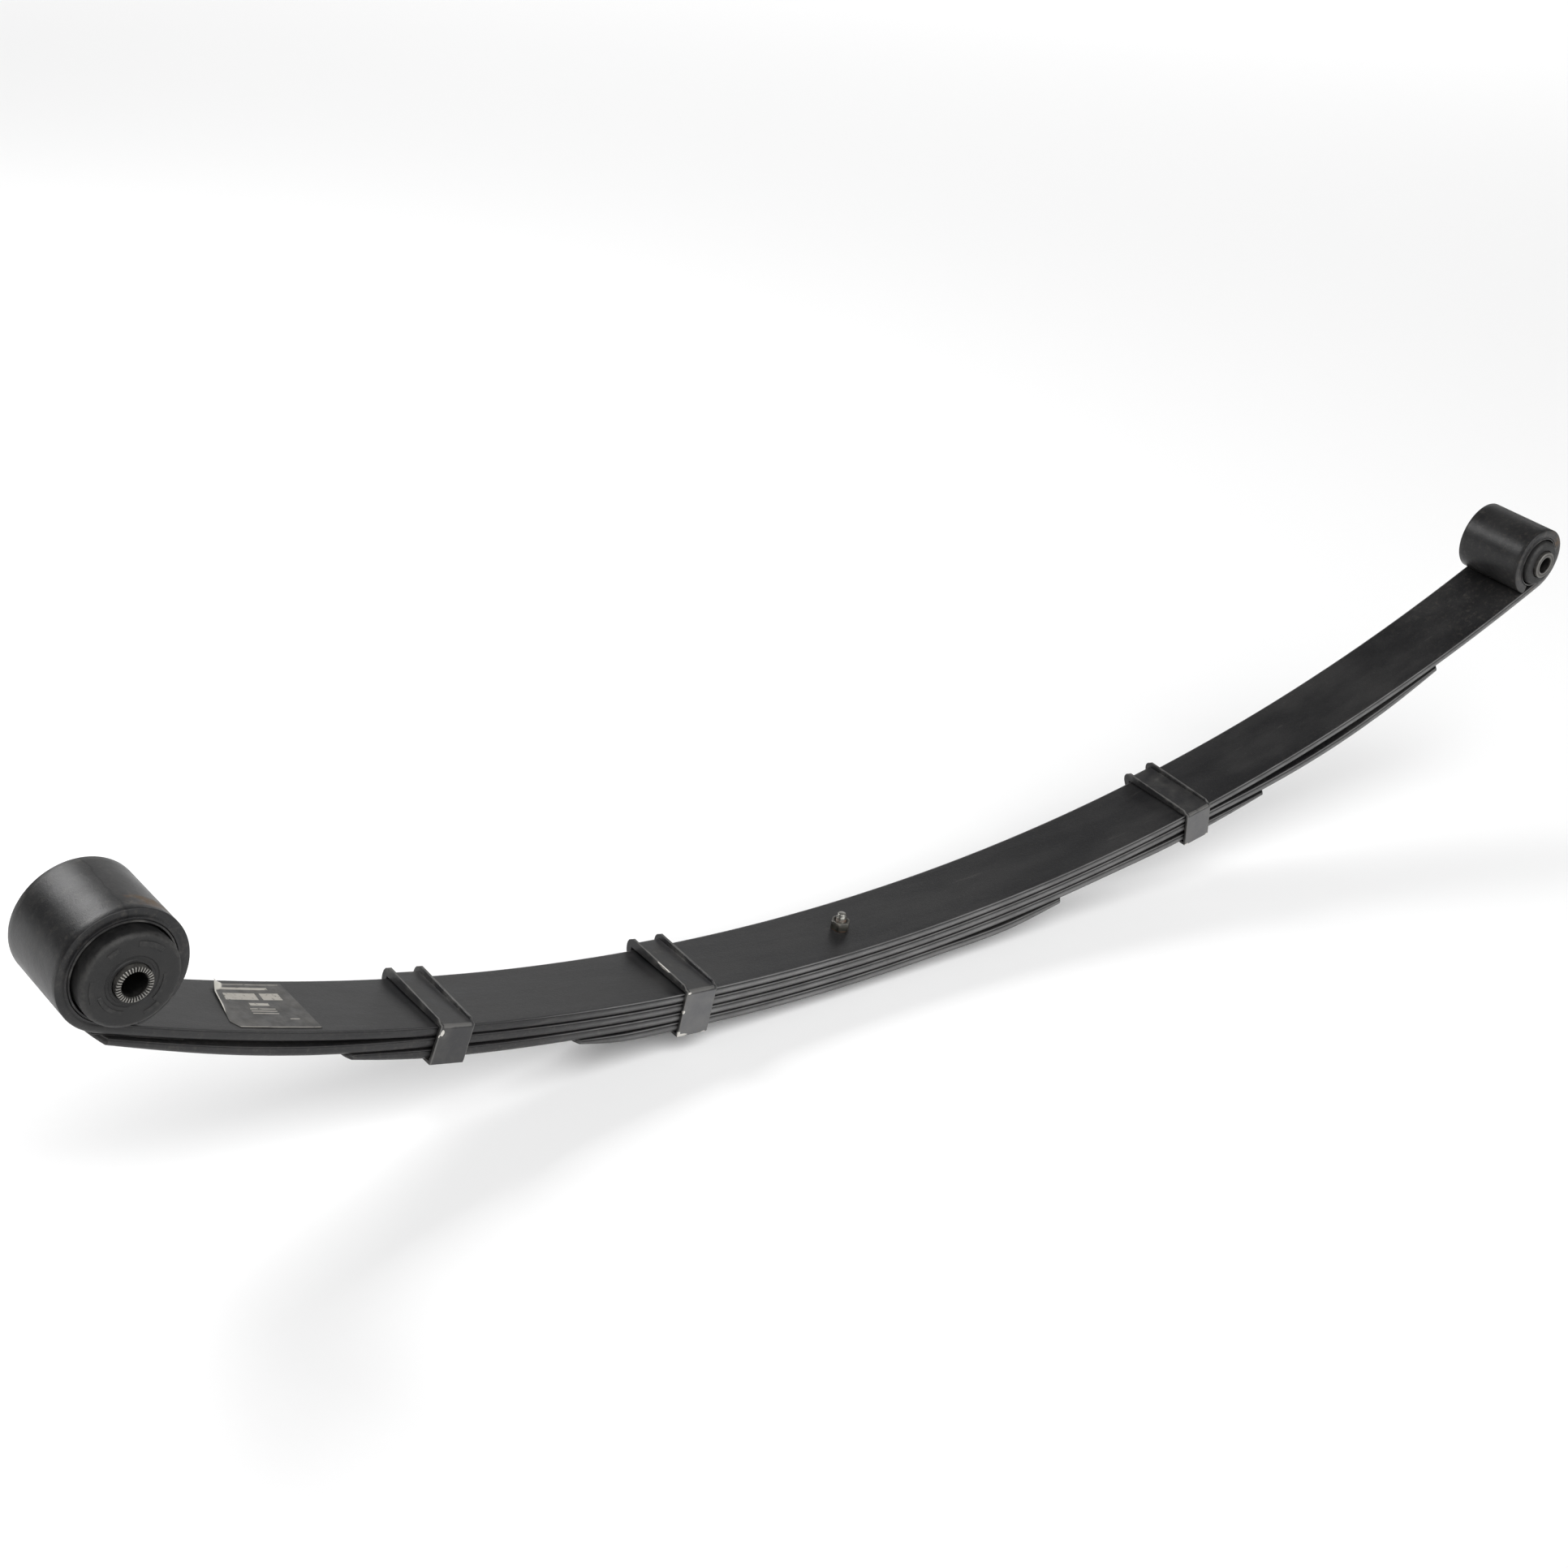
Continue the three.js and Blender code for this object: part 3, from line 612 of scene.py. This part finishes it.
for place, side in SIDES.items():
    for index, leaf in enumerate(NAMES):
        stations = main_stations(side) if index == 0 else lower_stations(side, index)
        grime = main_grime(place) if index == 0 else lower_grime
        eye = side["eye_reach"] if index == 0 else None
        name = f"{leaf}_leaf_{place}_half"
        half = strip(name, stations, grime, BURR_ROUGHNESS[leaf], eye, WEAR_AND_LIGHT_LOST[place])
        replaced = [f"{leaf}_leaf_{place}"]
        if place == "front":
            replaced.append(f"{leaf}_leaf_middle")
        dress(half, LEAF, "leaf_paint", *replaced)
        bend_with(half, place, leaf)

LINER_LENGTH = 62
LINER_STEPS = 16
LINER_HALF = 29.0
LINER_PLAY = 0.25
LINER_OVERHANG = 4

for place, index in (("front", 1), ("rear", 1), ("rear", 2)):
    side = SIDES[place]
    tip = side["leaves"][index]["reach"] + LINER_OVERHANG
    stations = []
    for k in range(LINER_STEPS + 1):
        r = tip - LINER_LENGTH + LINER_LENGTH * k / LINER_STEPS
        depth = foot_depth(side, index - 1, r) + LINER_PLAY
        stations.append((r, LINER_HALF, point_at(side, r, depth), point_at(side, r, depth + LINER)))
    liner = strip(f"{NAMES[index]}_{place}_liner", stations)
    dress(liner, PLASTIC, "liner_plastic", f"{NAMES[index]}_leaf_{place}_liner")
    bend_with(liner, place, NAMES[index])


# ---------------------------------------------------------------- pieces: rebound clips

CLIP_WIDTH = 26.5
CLIP_THICK = 2.3
CLIP_BEND = 0.15  # inner radius of the strap's corners
FOOT_PLAY = 0.3
SIDE_PLAY = 0.8
FLANGE = 1.8  # thickness of the flanges along the strap's edges
FLANGE_LOW = 2.0  # their height at the near end
FLANGE_TIP = 0.72  # share of their full height left at the far corner
FLANGE_DROP = 12.0  # length over which they run out down the far side
SEAM = 19.0
FOLD = 5  # higher makes the corners squarer
FLAT_STEPS = 16


def clip_path(low, high, half):
    """Points round the pack from the seam, far side first: (y, z, outward y, outward z)."""
    inner = CLIP_BEND
    path = []

    def straight(y0, z0, y1, z1, ny, nz, count):
        for i in range(count + 1):
            t = i / count
            path.append([y0 + (y1 - y0) * t, z0 + (z1 - z0) * t, ny, nz])

    def corner(cy, cz, start):
        for i in range(1, 4):
            a = math.radians(start + 90 * i / 4)
            path.append([cy + inner * math.cos(a), cz + inner * math.sin(a), math.cos(a), math.sin(a)])

    straight(SEAM + 0.5, low, half - inner, low, 0, -1, 3)
    corner(half - inner, low + inner, -90)
    straight(half, low + inner, half, high - inner, 1, 0, 20)
    corner(half - inner, high - inner, 0)
    straight(half - inner, high, -half + inner, high, 0, 1, 44)
    corner(-half + inner, high - inner, 90)
    straight(-half, high - inner, -half, low + inner, -1, 0, 34)
    corner(-half + inner, low + inner, 180)
    straight(-half + inner, low, SEAM - 0.5, low, 0, -1, 14)
    return path


def flange_height(y, z, ny, nz, high, half, tall):
    """How high the flanges stand: they rise across the top to tall, and run out down the far side."""
    if nz > 0.99:
        t = (y + half) / (2 * half)
        return ease((y + half) / 3.0) * (FLANGE_LOW + (tall - FLANGE_LOW) * t)
    if ny > 0 and z > high - 4 and nz > 0.01:
        return tall * FLANGE_TIP
    if ny > 0.99:
        return tall * FLANGE_TIP * (1 - ease((high - 0.5 - z) / FLANGE_DROP))
    return 0.0


def clip_ring(h, crease):
    """The strap's section as (x, height, share of worn paint and painted highlight), with a flange of height h
    along each edge.
    """
    w, t, f, lip = CLIP_WIDTH / 2, CLIP_THICK, FLANGE, 0.3 * min(h, 1)
    edge = [(w, 0.25, 0.2), (w, t * 0.5, 0.0), (w, t - 0.25 + h * 0.97, 0.5), (w - 0.25, t + h, 1.0)]
    edge += [(w - f + 0.3, t + h, lip), (w - f, t + h - lip, lip), (w - f - 0.1, t + 0.25 * min(h, 1), lip)]
    flat = w - f - 0.9
    ring = [(-x, out, wear_and_painted_light) for x, out, wear_and_painted_light in edge]
    ring += [(-flat + 2 * flat * k / FLAT_STEPS, t, crease) for k in range(FLAT_STEPS + 1)]
    ring += reversed(edge)
    return ring + [(w - 0.3, 0.0, 0.0), (-w + 0.3, 0.0, 0.0)]


def add_clip(name, place, leaf, reach, holds, top_play, tall, pale, chips):
    """A strap round the leaves down to number holds, riveted under leaf. pale is how much painted light makes
    its side plates paler.
    """
    side = SIDES[place]
    w = CLIP_WIDTH / 2
    low = -max(foot_depth(side, holds, r) for r in (reach - w, reach, reach + w)) - FOOT_PLAY
    high, half = top_play, WIDTH / 2 + SIDE_PLAY
    path = clip_path(low, high, half)
    verts, wear_and_light_values, chipped, painted_side_lights, uvs = [], [], [], [], []
    drop = high - low + 2 * CLIP_THICK
    for y, z, ny, nz in path:
        h = flange_height(y, z, ny, nz, high, half, tall)
        fold = FOLD if h < 0.2 else FOLD / 2
        crisp = (abs(ny) ** fold + abs(nz) ** fold) ** (-1 / fold)
        crease = 0.9 if ny < -0.1 and nz > 0.1 else 0.0
        ny, nz = ny * crisp, nz * crisp
        ring = clip_ring(h, crease)
        for x, out, wear_and_painted_light in ring:
            at = (x, y + ny * out, z + nz * out)
            verts.append(at)
            wear_and_light_values.append(wear_and_painted_light)
            # Painted light: the plain side plates get the pale share.
            plain = abs(x) < w - 0.1 and h < 0.1 and z < high - 0.8
            painted_side_lights.append(pale if plain and abs(ny) > 0.8 else 0.0)
            uvs.append((x * MM, (y + z) * MM))
            value = 0.0
            for cx, cy, share, *size in chips:
                centre = (cx, cy, high + CLIP_THICK - share * drop)
                value = max(value, 1 - 0.5 * sum(((a - c) / b) ** 2 for a, c, b in zip(at, centre, size)))
            chipped.append(value)
    masks = {"wear_and_painted_light": wear_and_light_values, "chip": chipped, "painted_side_light": painted_side_lights}
    clip = new_object(name + "_strap", verts, capped_faces(len(path), len(ring)), uvs, masks, 30)
    clip.data.transform(station(side, reach))
    dress(clip, CLIP, "clip_paint", name)
    bend_with(clip, place, leaf)
    add_rivet(name, place, leaf, side, reach, low - CLIP_THICK)


def station(side, reach):
    """From a clip's own place, with Z along the leaf's normal, to the frame."""
    point = point_at(side, reach, 0.0) * MM
    turn = Matrix.Rotation(-angle_at(side, reach), 4, "Y")
    return Matrix.Translation((point.x, 0, point.y)) @ turn


def add_rivet(name, place, leaf, side, reach, level):
    """A domed rivet head under a clip's foot."""
    radius, height = 6.5, 2.6
    rows = [(0.0, -height)]
    for i in range(1, 9):
        a = math.radians(90 * i / 8)
        rows.append((radius * math.sin(a), -height * math.cos(a) * 0.97))
    rows += [(radius, -0.05), (radius - 0.2, 0.0), (0.0, 0.0)]
    verts = []
    segments = 40
    for r, z in rows:
        for j in range(segments):
            a = TAU * j / segments
            verts.append((max(r, 0.01) * math.cos(a), max(r, 0.01) * math.sin(a), level + z - 0.02))
    faces, masks = capped_faces(len(rows), segments), {"wear_and_painted_light": [0.2] * len(verts)}
    rivet = new_object(name + "_rivet_head", verts, faces, None, masks, 40)
    rivet.data.transform(station(side, reach))
    dress(rivet, CLIP, "clip_paint", name + "_rivet")
    bend_with(rivet, place, leaf)


# Each chip's centre is given along the spring, across it, and as a share of the way from the strap's top to
# its foot. Its half sizes in those three directions follow. NEAR is the strap's near face.
NEAR = -WIDTH / 2 - SIDE_PLAY - CLIP_THICK
add_clip("front_outer_clip", "front", "third", 363.5, 2, 0.8, 4.5, 0.2,
         [(-10.8, NEAR, 0.19, 1.7, 2, 2.8), (-12.6, NEAR, 0.27, 0.8, 2, 1.6)])
add_clip("front_inner_clip", "front", "fourth", 157.5, 3, 2.0, 4.5, 1.0,
         [(-11, NEAR, 0.05, 2.0, 2, 1.0), (-12.6, NEAR, 0.45, 1.3, 2, 1.7), (-9.0, NEAR, 0.965, 5.0, 2, 1.5),
          (-12.5, NEAR, 0.93, 1.5, 2, 3.0), (10, NEAR, 0.985, 3.0, 2, 1.0), (-13.2, -6, -0.08, 1.0, 9, 1.0)])
add_clip("rear_clip", "rear", "third", 352, 2, 0.8, 5.0, 0.9,
         [(11.5, NEAR, 0.98, 1.8, 2, 1.4), (-11.5, NEAR, 0.97, 2.6, 2, 1.4), (0, NEAR, 1.0, 7, 2, 0.5),
          (12.4, -33, -0.08, 1.2, 2, 1.6)])


# ---------------------------------------------------------------- pieces: centre bolt and nut


def add_bolt():
    """The bolt from its head on the floor to its threaded end. Rows are (radius, height, 1 if threaded)."""
    end = TOP + 12.8
    pitch, depth, radius = 1.25, 0.62, 4.0
    segments = 48
    low, high = TOP + 0.5, end - 2.6
    rows = [(0.01, 0.0, 0), (6.6, 0.0, 0), (7.2, 0.25, 0), (7.5, 0.9, 0)]
    rows += [(7.5, 7.6, 0), (7.3, 8.0, 0), (radius, 8.0, 0)]
    steps = int((high - low) / pitch * 10)
    rows += [(radius, low + (high - low) * i / steps, 1) for i in range(steps + 1)]
    rows += [(3.25, high + 0.5, 0), (3.2, end - 0.7, 0), (2.9, end - 0.2, 0)]
    rows += [(2.2, end, 0), (0.01, end + 0.05, 0)]
    verts, wear_and_light_values, rusts = [], [], []
    for r, z, threaded in rows:
        for j in range(segments):
            a = TAU * j / segments
            here = r
            if threaded:
                phase = (z / pitch - a / TAU) % 1.0
                here = r - depth * abs(2 * phase - 1) * ease((z - low) / 0.6)
            verts.append((here * math.cos(a), here * math.sin(a), z))
            wear_and_light_values.append(0.4 if z > high + 0.3 else 0.05)
            rusts.append(0.35 if z < TOP + 9 else 0.0)
    faces = capped_faces(len(rows), segments)
    bolt = new_object("centre_bolt_body", verts, faces, None, {"wear_and_painted_light": wear_and_light_values, "rust": rusts}, 50)
    dress(bolt, ZINC, "plated_steel", "centre_bolt")
    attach(bolt, "seat")


def add_nut():
    """A hexagon nut with chamfered corners, turned a little from the spring's length."""
    flats, height, bore = 13.0, 7.0, 4.15
    chamfer = [(0.0, 6.7), (0.05, 7.0), (0.12, 7.6), (0.5, 9.0)]
    chamfer += [(0.84, 7.6), (0.9, 7.2), (0.95, 6.75), (1.0, 6.1)]
    base = TOP + 0.05
    segments = 96

    def hexagon(a):
        return flats / 2 / math.cos((a + math.pi / 6) % (math.pi / 3) - math.pi / 6)

    corner = flats / math.sqrt(3)
    rows = [("out", share * height, cone) for share, cone in chamfer]
    rows += [("in", height, 5.0), ("in", height - 0.7, bore), ("in", 0.7, bore), ("in", 0.0, 5.0)]
    verts, rusts, wear_and_light_values = [], [], []
    for kind, z, r in rows:
        for j in range(segments):
            a = TAU * j / segments
            here = min(hexagon(a), r, corner) if kind == "out" else r
            b = a + math.radians(11)
            verts.append((here * math.cos(b), here * math.sin(b), base + z))
            rusts.append(0.55 if z < 0.8 else 0.05)
            wear_and_light_values.append(0.15 if kind == "out" and r < 8 and z > 5.5 else 0.0)
    faces = grid_faces(len(rows), segments, closed_rows=True)
    nut = new_object("centre_nut_body", verts, faces, None, {"wear_and_painted_light": wear_and_light_values, "rust": rusts}, 30)
    dress(nut, NUT, "plated_steel", "centre_nut")
    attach(nut, "seat")


add_bolt()
add_nut()


# ---------------------------------------------------------------- pieces: bushes


def mirrored(rows):
    """A half profile of (radius, along, share of worn surface and painted shade), from the bore outwards,
    closed by its mirror image.
    """
    return rows + [(r, -y, m) for r, y, m in reversed(rows)]


MARK_HEIGHT = 0.45
TOOTH_DEPTH = 0.9


def add_bush(place, rubber_rows, sleeve_rows, steel, teeth=0, marks=()):
    """A shell, rubber and sleeve in an eye. Rows are half profiles, and teeth cut into the sleeve's ends.

    marks are raised arcs on the rubber's faces: (inner radius, outer radius, middle, half angle), in degrees.
    """
    side = SIDES[place]
    c = eye_centre(side)
    outer = side["eye_radius"] - CLEAR
    rows = [(outer - 1.4, 31.2, 0.0), (outer - 1.2, 31.7, 0.2), (outer - 0.2, 31.7, 0.2), (outer, 31.3, 0.0)]
    part = lathe(f"{place}_shell", mirrored(rows), c)
    dress(part, CLIP, "clip_paint", f"{place}_bush_shell")
    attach(part, f"main_{place}_arm")
    rubber_rows = mirrored(rubber_rows)

    def raise_marks(i, turn):
        radius, along, _ = rubber_rows[i]
        for low, high, middle, half in marks:
            off = abs((math.degrees(turn) - middle + 180) % 360 - 180)
            if low < radius < high and off < half:
                return math.copysign(MARK_HEIGHT, along), 0.5
        return 0.0, 0.0

    part = lathe(f"{place}_rubber", rubber_rows, c, 288, shape=raise_marks)
    dress(part, RUBBER, "bush_rubber", f"{place}_bush_rubber")
    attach(part, f"main_{place}_arm")
    sleeve_rows = mirrored(sleeve_rows)
    end = max(r[1] for r in sleeve_rows)

    def serrate(i, turn):
        along = sleeve_rows[i][1]
        if not teeth or abs(along) < end - 0.01:
            return 0.0, 0.0
        share = (turn / TAU * teeth) % 1.0
        # Gaps between the teeth are painted shade (-1 in the mask); tooth tops are a little worn.
        return (-math.copysign(TOOTH_DEPTH, along), -1.0) if 0.22 < share < 0.72 else (0.0, 0.1)

    part = lathe(f"{place}_sleeve_body", sleeve_rows, c, 288, 30, serrate)
    dress(part, steel, "sleeve_steel", f"{place}_bush_sleeve")
    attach(part, f"{place}_sleeve")


FACE = 42.75  # the front rubber's end face, from the middle of the bush
add_bush(
    "front",
    [
        (11.95, 42.0, 0.0), (12.6, FACE, 0.2), (14.0, FACE, 0.2), (14.6, 42.1, 0.0), (16.2, 42.1, 0.0),
        (16.9, FACE, 0.3), (19.0, FACE, 0.0), (19.2, FACE, 0.0), (21.6, FACE, 0.0), (21.8, FACE, 0.0),
        (23.0, FACE, 0.0), (23.2, FACE, 0.0), (26.4, FACE, 0.0), (26.6, FACE, 0.0), (28.3, FACE, 0.4),
        (29.6, 42.3, 0.8), (30.7, 41.3, 0.8), (31.2, 39.9, 0.5), (31.3, 38.0, 0.1), (31.25, 33.6, 0.0),
        (30.8, 32.6, 0.0), (30.8, 30.0, 0.0),
    ],
    [
        # The bore's rows, below 0 in the last column, paint shade inside the sleeve.
        (8.2, 36.0, -1.0), (8.2, 45.9, -0.7), (8.8, 46.75, 0.2), (9.6, 46.75, 0.3), (10.4, 46.75, 0.3),
        (11.3, 46.75, 0.3), (11.8, 46.2, 0.1), (11.8, 42.0, 0.0),
    ],
    SLEEVE,
    36,
    [
        (23.1, 26.5, 62, 20), (23.1, 26.5, 118, 9), (23.1, 26.5, 182, 16), (23.1, 26.5, 300, 12),
        (19.1, 21.7, 335, 24), (19.1, 21.7, 225, 30),
    ],
)
add_bush(
    "rear",
    [
        (12.15, 35.2, 0.0), (12.8, 36.2, 0.2), (14.5, 36.25, 0.2), (17.3, 36.2, 0.3), (18.8, 35.7, 0.6),
        (19.8, 34.6, 0.6), (20.15, 33.2, 0.3), (20.15, 31.9, 0.1), (20.1, 30.0, 0.0),
    ],
    [
        # The bore's rows, below 0 in the last column, paint shade inside the sleeve.
        (7.2, 30.0, -1.0), (7.2, 38.6, -0.5), (7.9, 39.2, 0.25), (9.6, 39.25, 0.0), (11.4, 39.2, 0.25),
        (12.0, 38.6, 0.1), (12.0, 34.0, 0.0),
    ],
    DULL_SLEEVE,
)


# ---------------------------------------------------------------- piece: label


def add_label():
    """A thin dark film. Its edge by the eye is torn at a slant, and the far corner there has curled up."""
    side = SIDES["front"]
    length, width = 64, 54
    n_along, n_across = 64, 54
    eye_reach, bolt_reach = 527, 462
    half = 27.0
    verts, uvs, curled = [], [], []
    for layer in (0.36, 0.08):
        for i in range(n_along + 1):
            u = i / n_along
            for j in range(n_across + 1):
                v = j / n_across
                y = -half + 2 * half * v
                start = eye_reach - 13 * v - 6 * max(0.0, 1 - v / 0.12)
                r = start - (start - bolt_reach) * u
                corner = max(0.0, 1 - math.hypot(u * length, (v - 1) * width) / 12.0)
                peel = max(0.0, 1 - u * length / 2.5) * ease((v - 0.15) / 0.4)
                up = 0.35 * wobble(r, y, 0, 18.0, 2) ** 2 + 3.6 * corner**1.4 + 1.0 * peel
                p = point_at(side, r - 1.0 * corner, -(layer + up))
                verts.append((p.x, y - 1.5 * corner, p.y))
                uvs.append((u, v))
                curled.append(max(corner, 0.5 * peel))
    count = (n_along + 1) * (n_across + 1)

    def at(layer, i, j):
        return layer * count + i * (n_across + 1) + j

    faces = []
    for i in range(n_along):
        for j in range(n_across):
            for layer in (0, 1):
                ends = at(layer, i, j), at(layer, i, j + 1)
                face = (*ends, at(layer, i + 1, j + 1), at(layer, i + 1, j))
                faces.append(face if layer == 0 else face[::-1])
    for i in range(n_along):
        for j in (0, n_across):
            face = (at(0, i, j), at(1, i, j), at(1, i + 1, j), at(0, i + 1, j))
            faces.append(face if j else face[::-1])
    for j in range(n_across):
        for i in (0, n_along):
            face = (at(0, i, j), at(0, i, j + 1), at(1, i, j + 1), at(1, i, j))
            faces.append(face if i else face[::-1])
    label = new_object("label_film", verts, faces, uvs, {"curl": curled}, 60)
    dress(label, label_film(), "label_film", "label")
    bend_with(label, "front", "main")


def label_film():
    """Dark film with plain bars for print, worn in places. Where it has curled, its pale back shows."""
    n = Nodes("label_film")
    u, v = n.split(n.uv())[:2]

    def box(low_u, high_u, low_v, high_v):
        inside = 1.0
        for value, low, high in ((u, low_u, high_u), (v, low_v, high_v)):
            inside = n.math("MULTIPLY", inside, n.math("GREATER_THAN", value, low))
            inside = n.math("MULTIPLY", inside, n.math("LESS_THAN", value, high))
        return inside

    cloud = n.ramp(n.noise(60.0, 4.0, 0.6), 0.35, 0.7)
    color = n.mix(cloud, (0.022, 0.021, 0.020), (0.046, 0.043, 0.038))
    bars = [(0.1, 0.94, 0.962, 0.974), (0.06, 0.74, 0.85, 0.9), (0.01, 0.99, 0.012, 0.022)]
    bars += [(0.1, 0.52, 0.62, 0.77), (0.58, 0.83, 0.62, 0.77)]
    bars += [(0.36, 0.6, 0.49, 0.55), (0.72, 0.83, 0.19, 0.205)]
    bars += [(0.33, 0.64, at, at + 0.016) for at in (0.31, 0.36, 0.41)]
    total = 0.0
    for bar in bars:
        total = n.math("MAXIMUM", total, box(*bar))
    worn = n.ramp(n.noise(320.0, 4.0, 0.7), 0.3, 0.44)
    color = n.mix(n.math("MULTIPLY", total, n.math("MULTIPLY", worn, 0.8)), color, (0.36, 0.34, 0.3))
    color = n.mix(n.ramp(n.attribute("curl"), 0.12, 0.3), color, (0.5, 0.48, 0.43))
    n.bump((n.noise(90.0, 3.0, 0.6), 0.25, 0.001), (n.noise(700.0, 3.0, 0.6), 0.15, 0.0002))
    return n.finish(color, n.ramp(n.noise(150.0), 0.3, 0.7, 0.3, 0.45), 0.0, 0.5)


add_label()

# ---------------------------------------------------------------- stage, camera and light


FLOOR_SIZE = 12.0
FLOOR_LEVEL = -0.0004


def add_floor():
    corners = [(x * FLOOR_SIZE, y * FLOOR_SIZE, FLOOR_LEVEL) for x, y in ((-1, -1), (1, -1), (1, 1), (-1, 1))]
    mesh = bpy.data.meshes.new("floor")
    mesh.from_pydata(corners, [], [(0, 1, 2, 3)])
    floor = bpy.data.objects.new("floor", mesh)
    bpy.context.scene.collection.objects.link(floor)
    n = Nodes("floor")
    mesh.materials.append(n.finish((0.9, 0.9, 0.9), 0.9, 0.0, 0.1))
    floor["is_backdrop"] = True


def area_light(name, place, target, size, power):
    light = bpy.data.lights.new(name, "AREA")
    light.shape = "RECTANGLE"
    light.size, light.size_y = size
    light.energy = power
    obj = bpy.data.objects.new(name, light)
    bpy.context.scene.collection.objects.link(obj)
    obj.location = place
    obj.rotation_mode = "QUATERNION"
    obj.rotation_quaternion = (Vector(target) - Vector(place)).to_track_quat("-Z", "Y")


def sun_light(place, strength, spread):
    light = bpy.data.lights.new("overhead", "SUN")
    light.energy = strength
    light.angle = math.radians(spread)
    obj = bpy.data.objects.new("overhead", light)
    bpy.context.scene.collection.objects.link(obj)
    obj.rotation_mode = "QUATERNION"
    obj.rotation_quaternion = Vector(place).to_track_quat("Z", "Y")


def add_camera():
    """The camera of the photo: lens and place come from a fit to the leaves' edges."""
    data = bpy.data.cameras.new("camera")
    data.sensor_width = 36.0
    data.lens = 57.24
    data.clip_start, data.clip_end = 0.05, 50.0
    camera = bpy.data.objects.new("camera", data)
    bpy.context.scene.collection.objects.link(camera)
    right = Vector((0.77310017, -0.6173776, 0.1454683))
    up = Vector((0.19351111, 0.44798387, 0.87284816))
    back = Vector((-0.60404435, -0.64664932, 0.46580583))
    rotation = Matrix((right, up, back)).transposed().to_4x4()
    camera.matrix_world = Matrix.Translation((-1.135735, -1.13014, 0.993762)) @ rotation
    bpy.context.scene.camera = camera


add_floor()
add_camera()
sun_light((-0.15, -0.9, 1.0), 3.25, 75)
area_light("back_wall", (3.0, 4.4, 1.75), (0.3, 0, 0.3), (6.3, 2.7), 46)
area_light("back_box", (-0.75, 1.3, 1.25), (-0.3, 0, 0.2), (0.95, 0.6), 18)
area_light("near_strip", (1.1, -2.3, 0.9), (0.2, 0, 0.1), (2.2, 0.9), 13)

world = bpy.data.worlds.new("world")
bpy.context.scene.world = world
world.use_nodes = True
background = world.node_tree.nodes["Background"]
background.inputs["Color"].default_value = (1, 1, 1, 1)
background.inputs["Strength"].default_value = 0.12
bpy.context.scene.view_settings.view_transform = "Standard"

bpy.context.view_layer.update()
boxes = {"cad": CAD_BOX, "visual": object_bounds()}
{key: [[float(c) for c in corner] for corner in box] for key, box in boxes.items()}
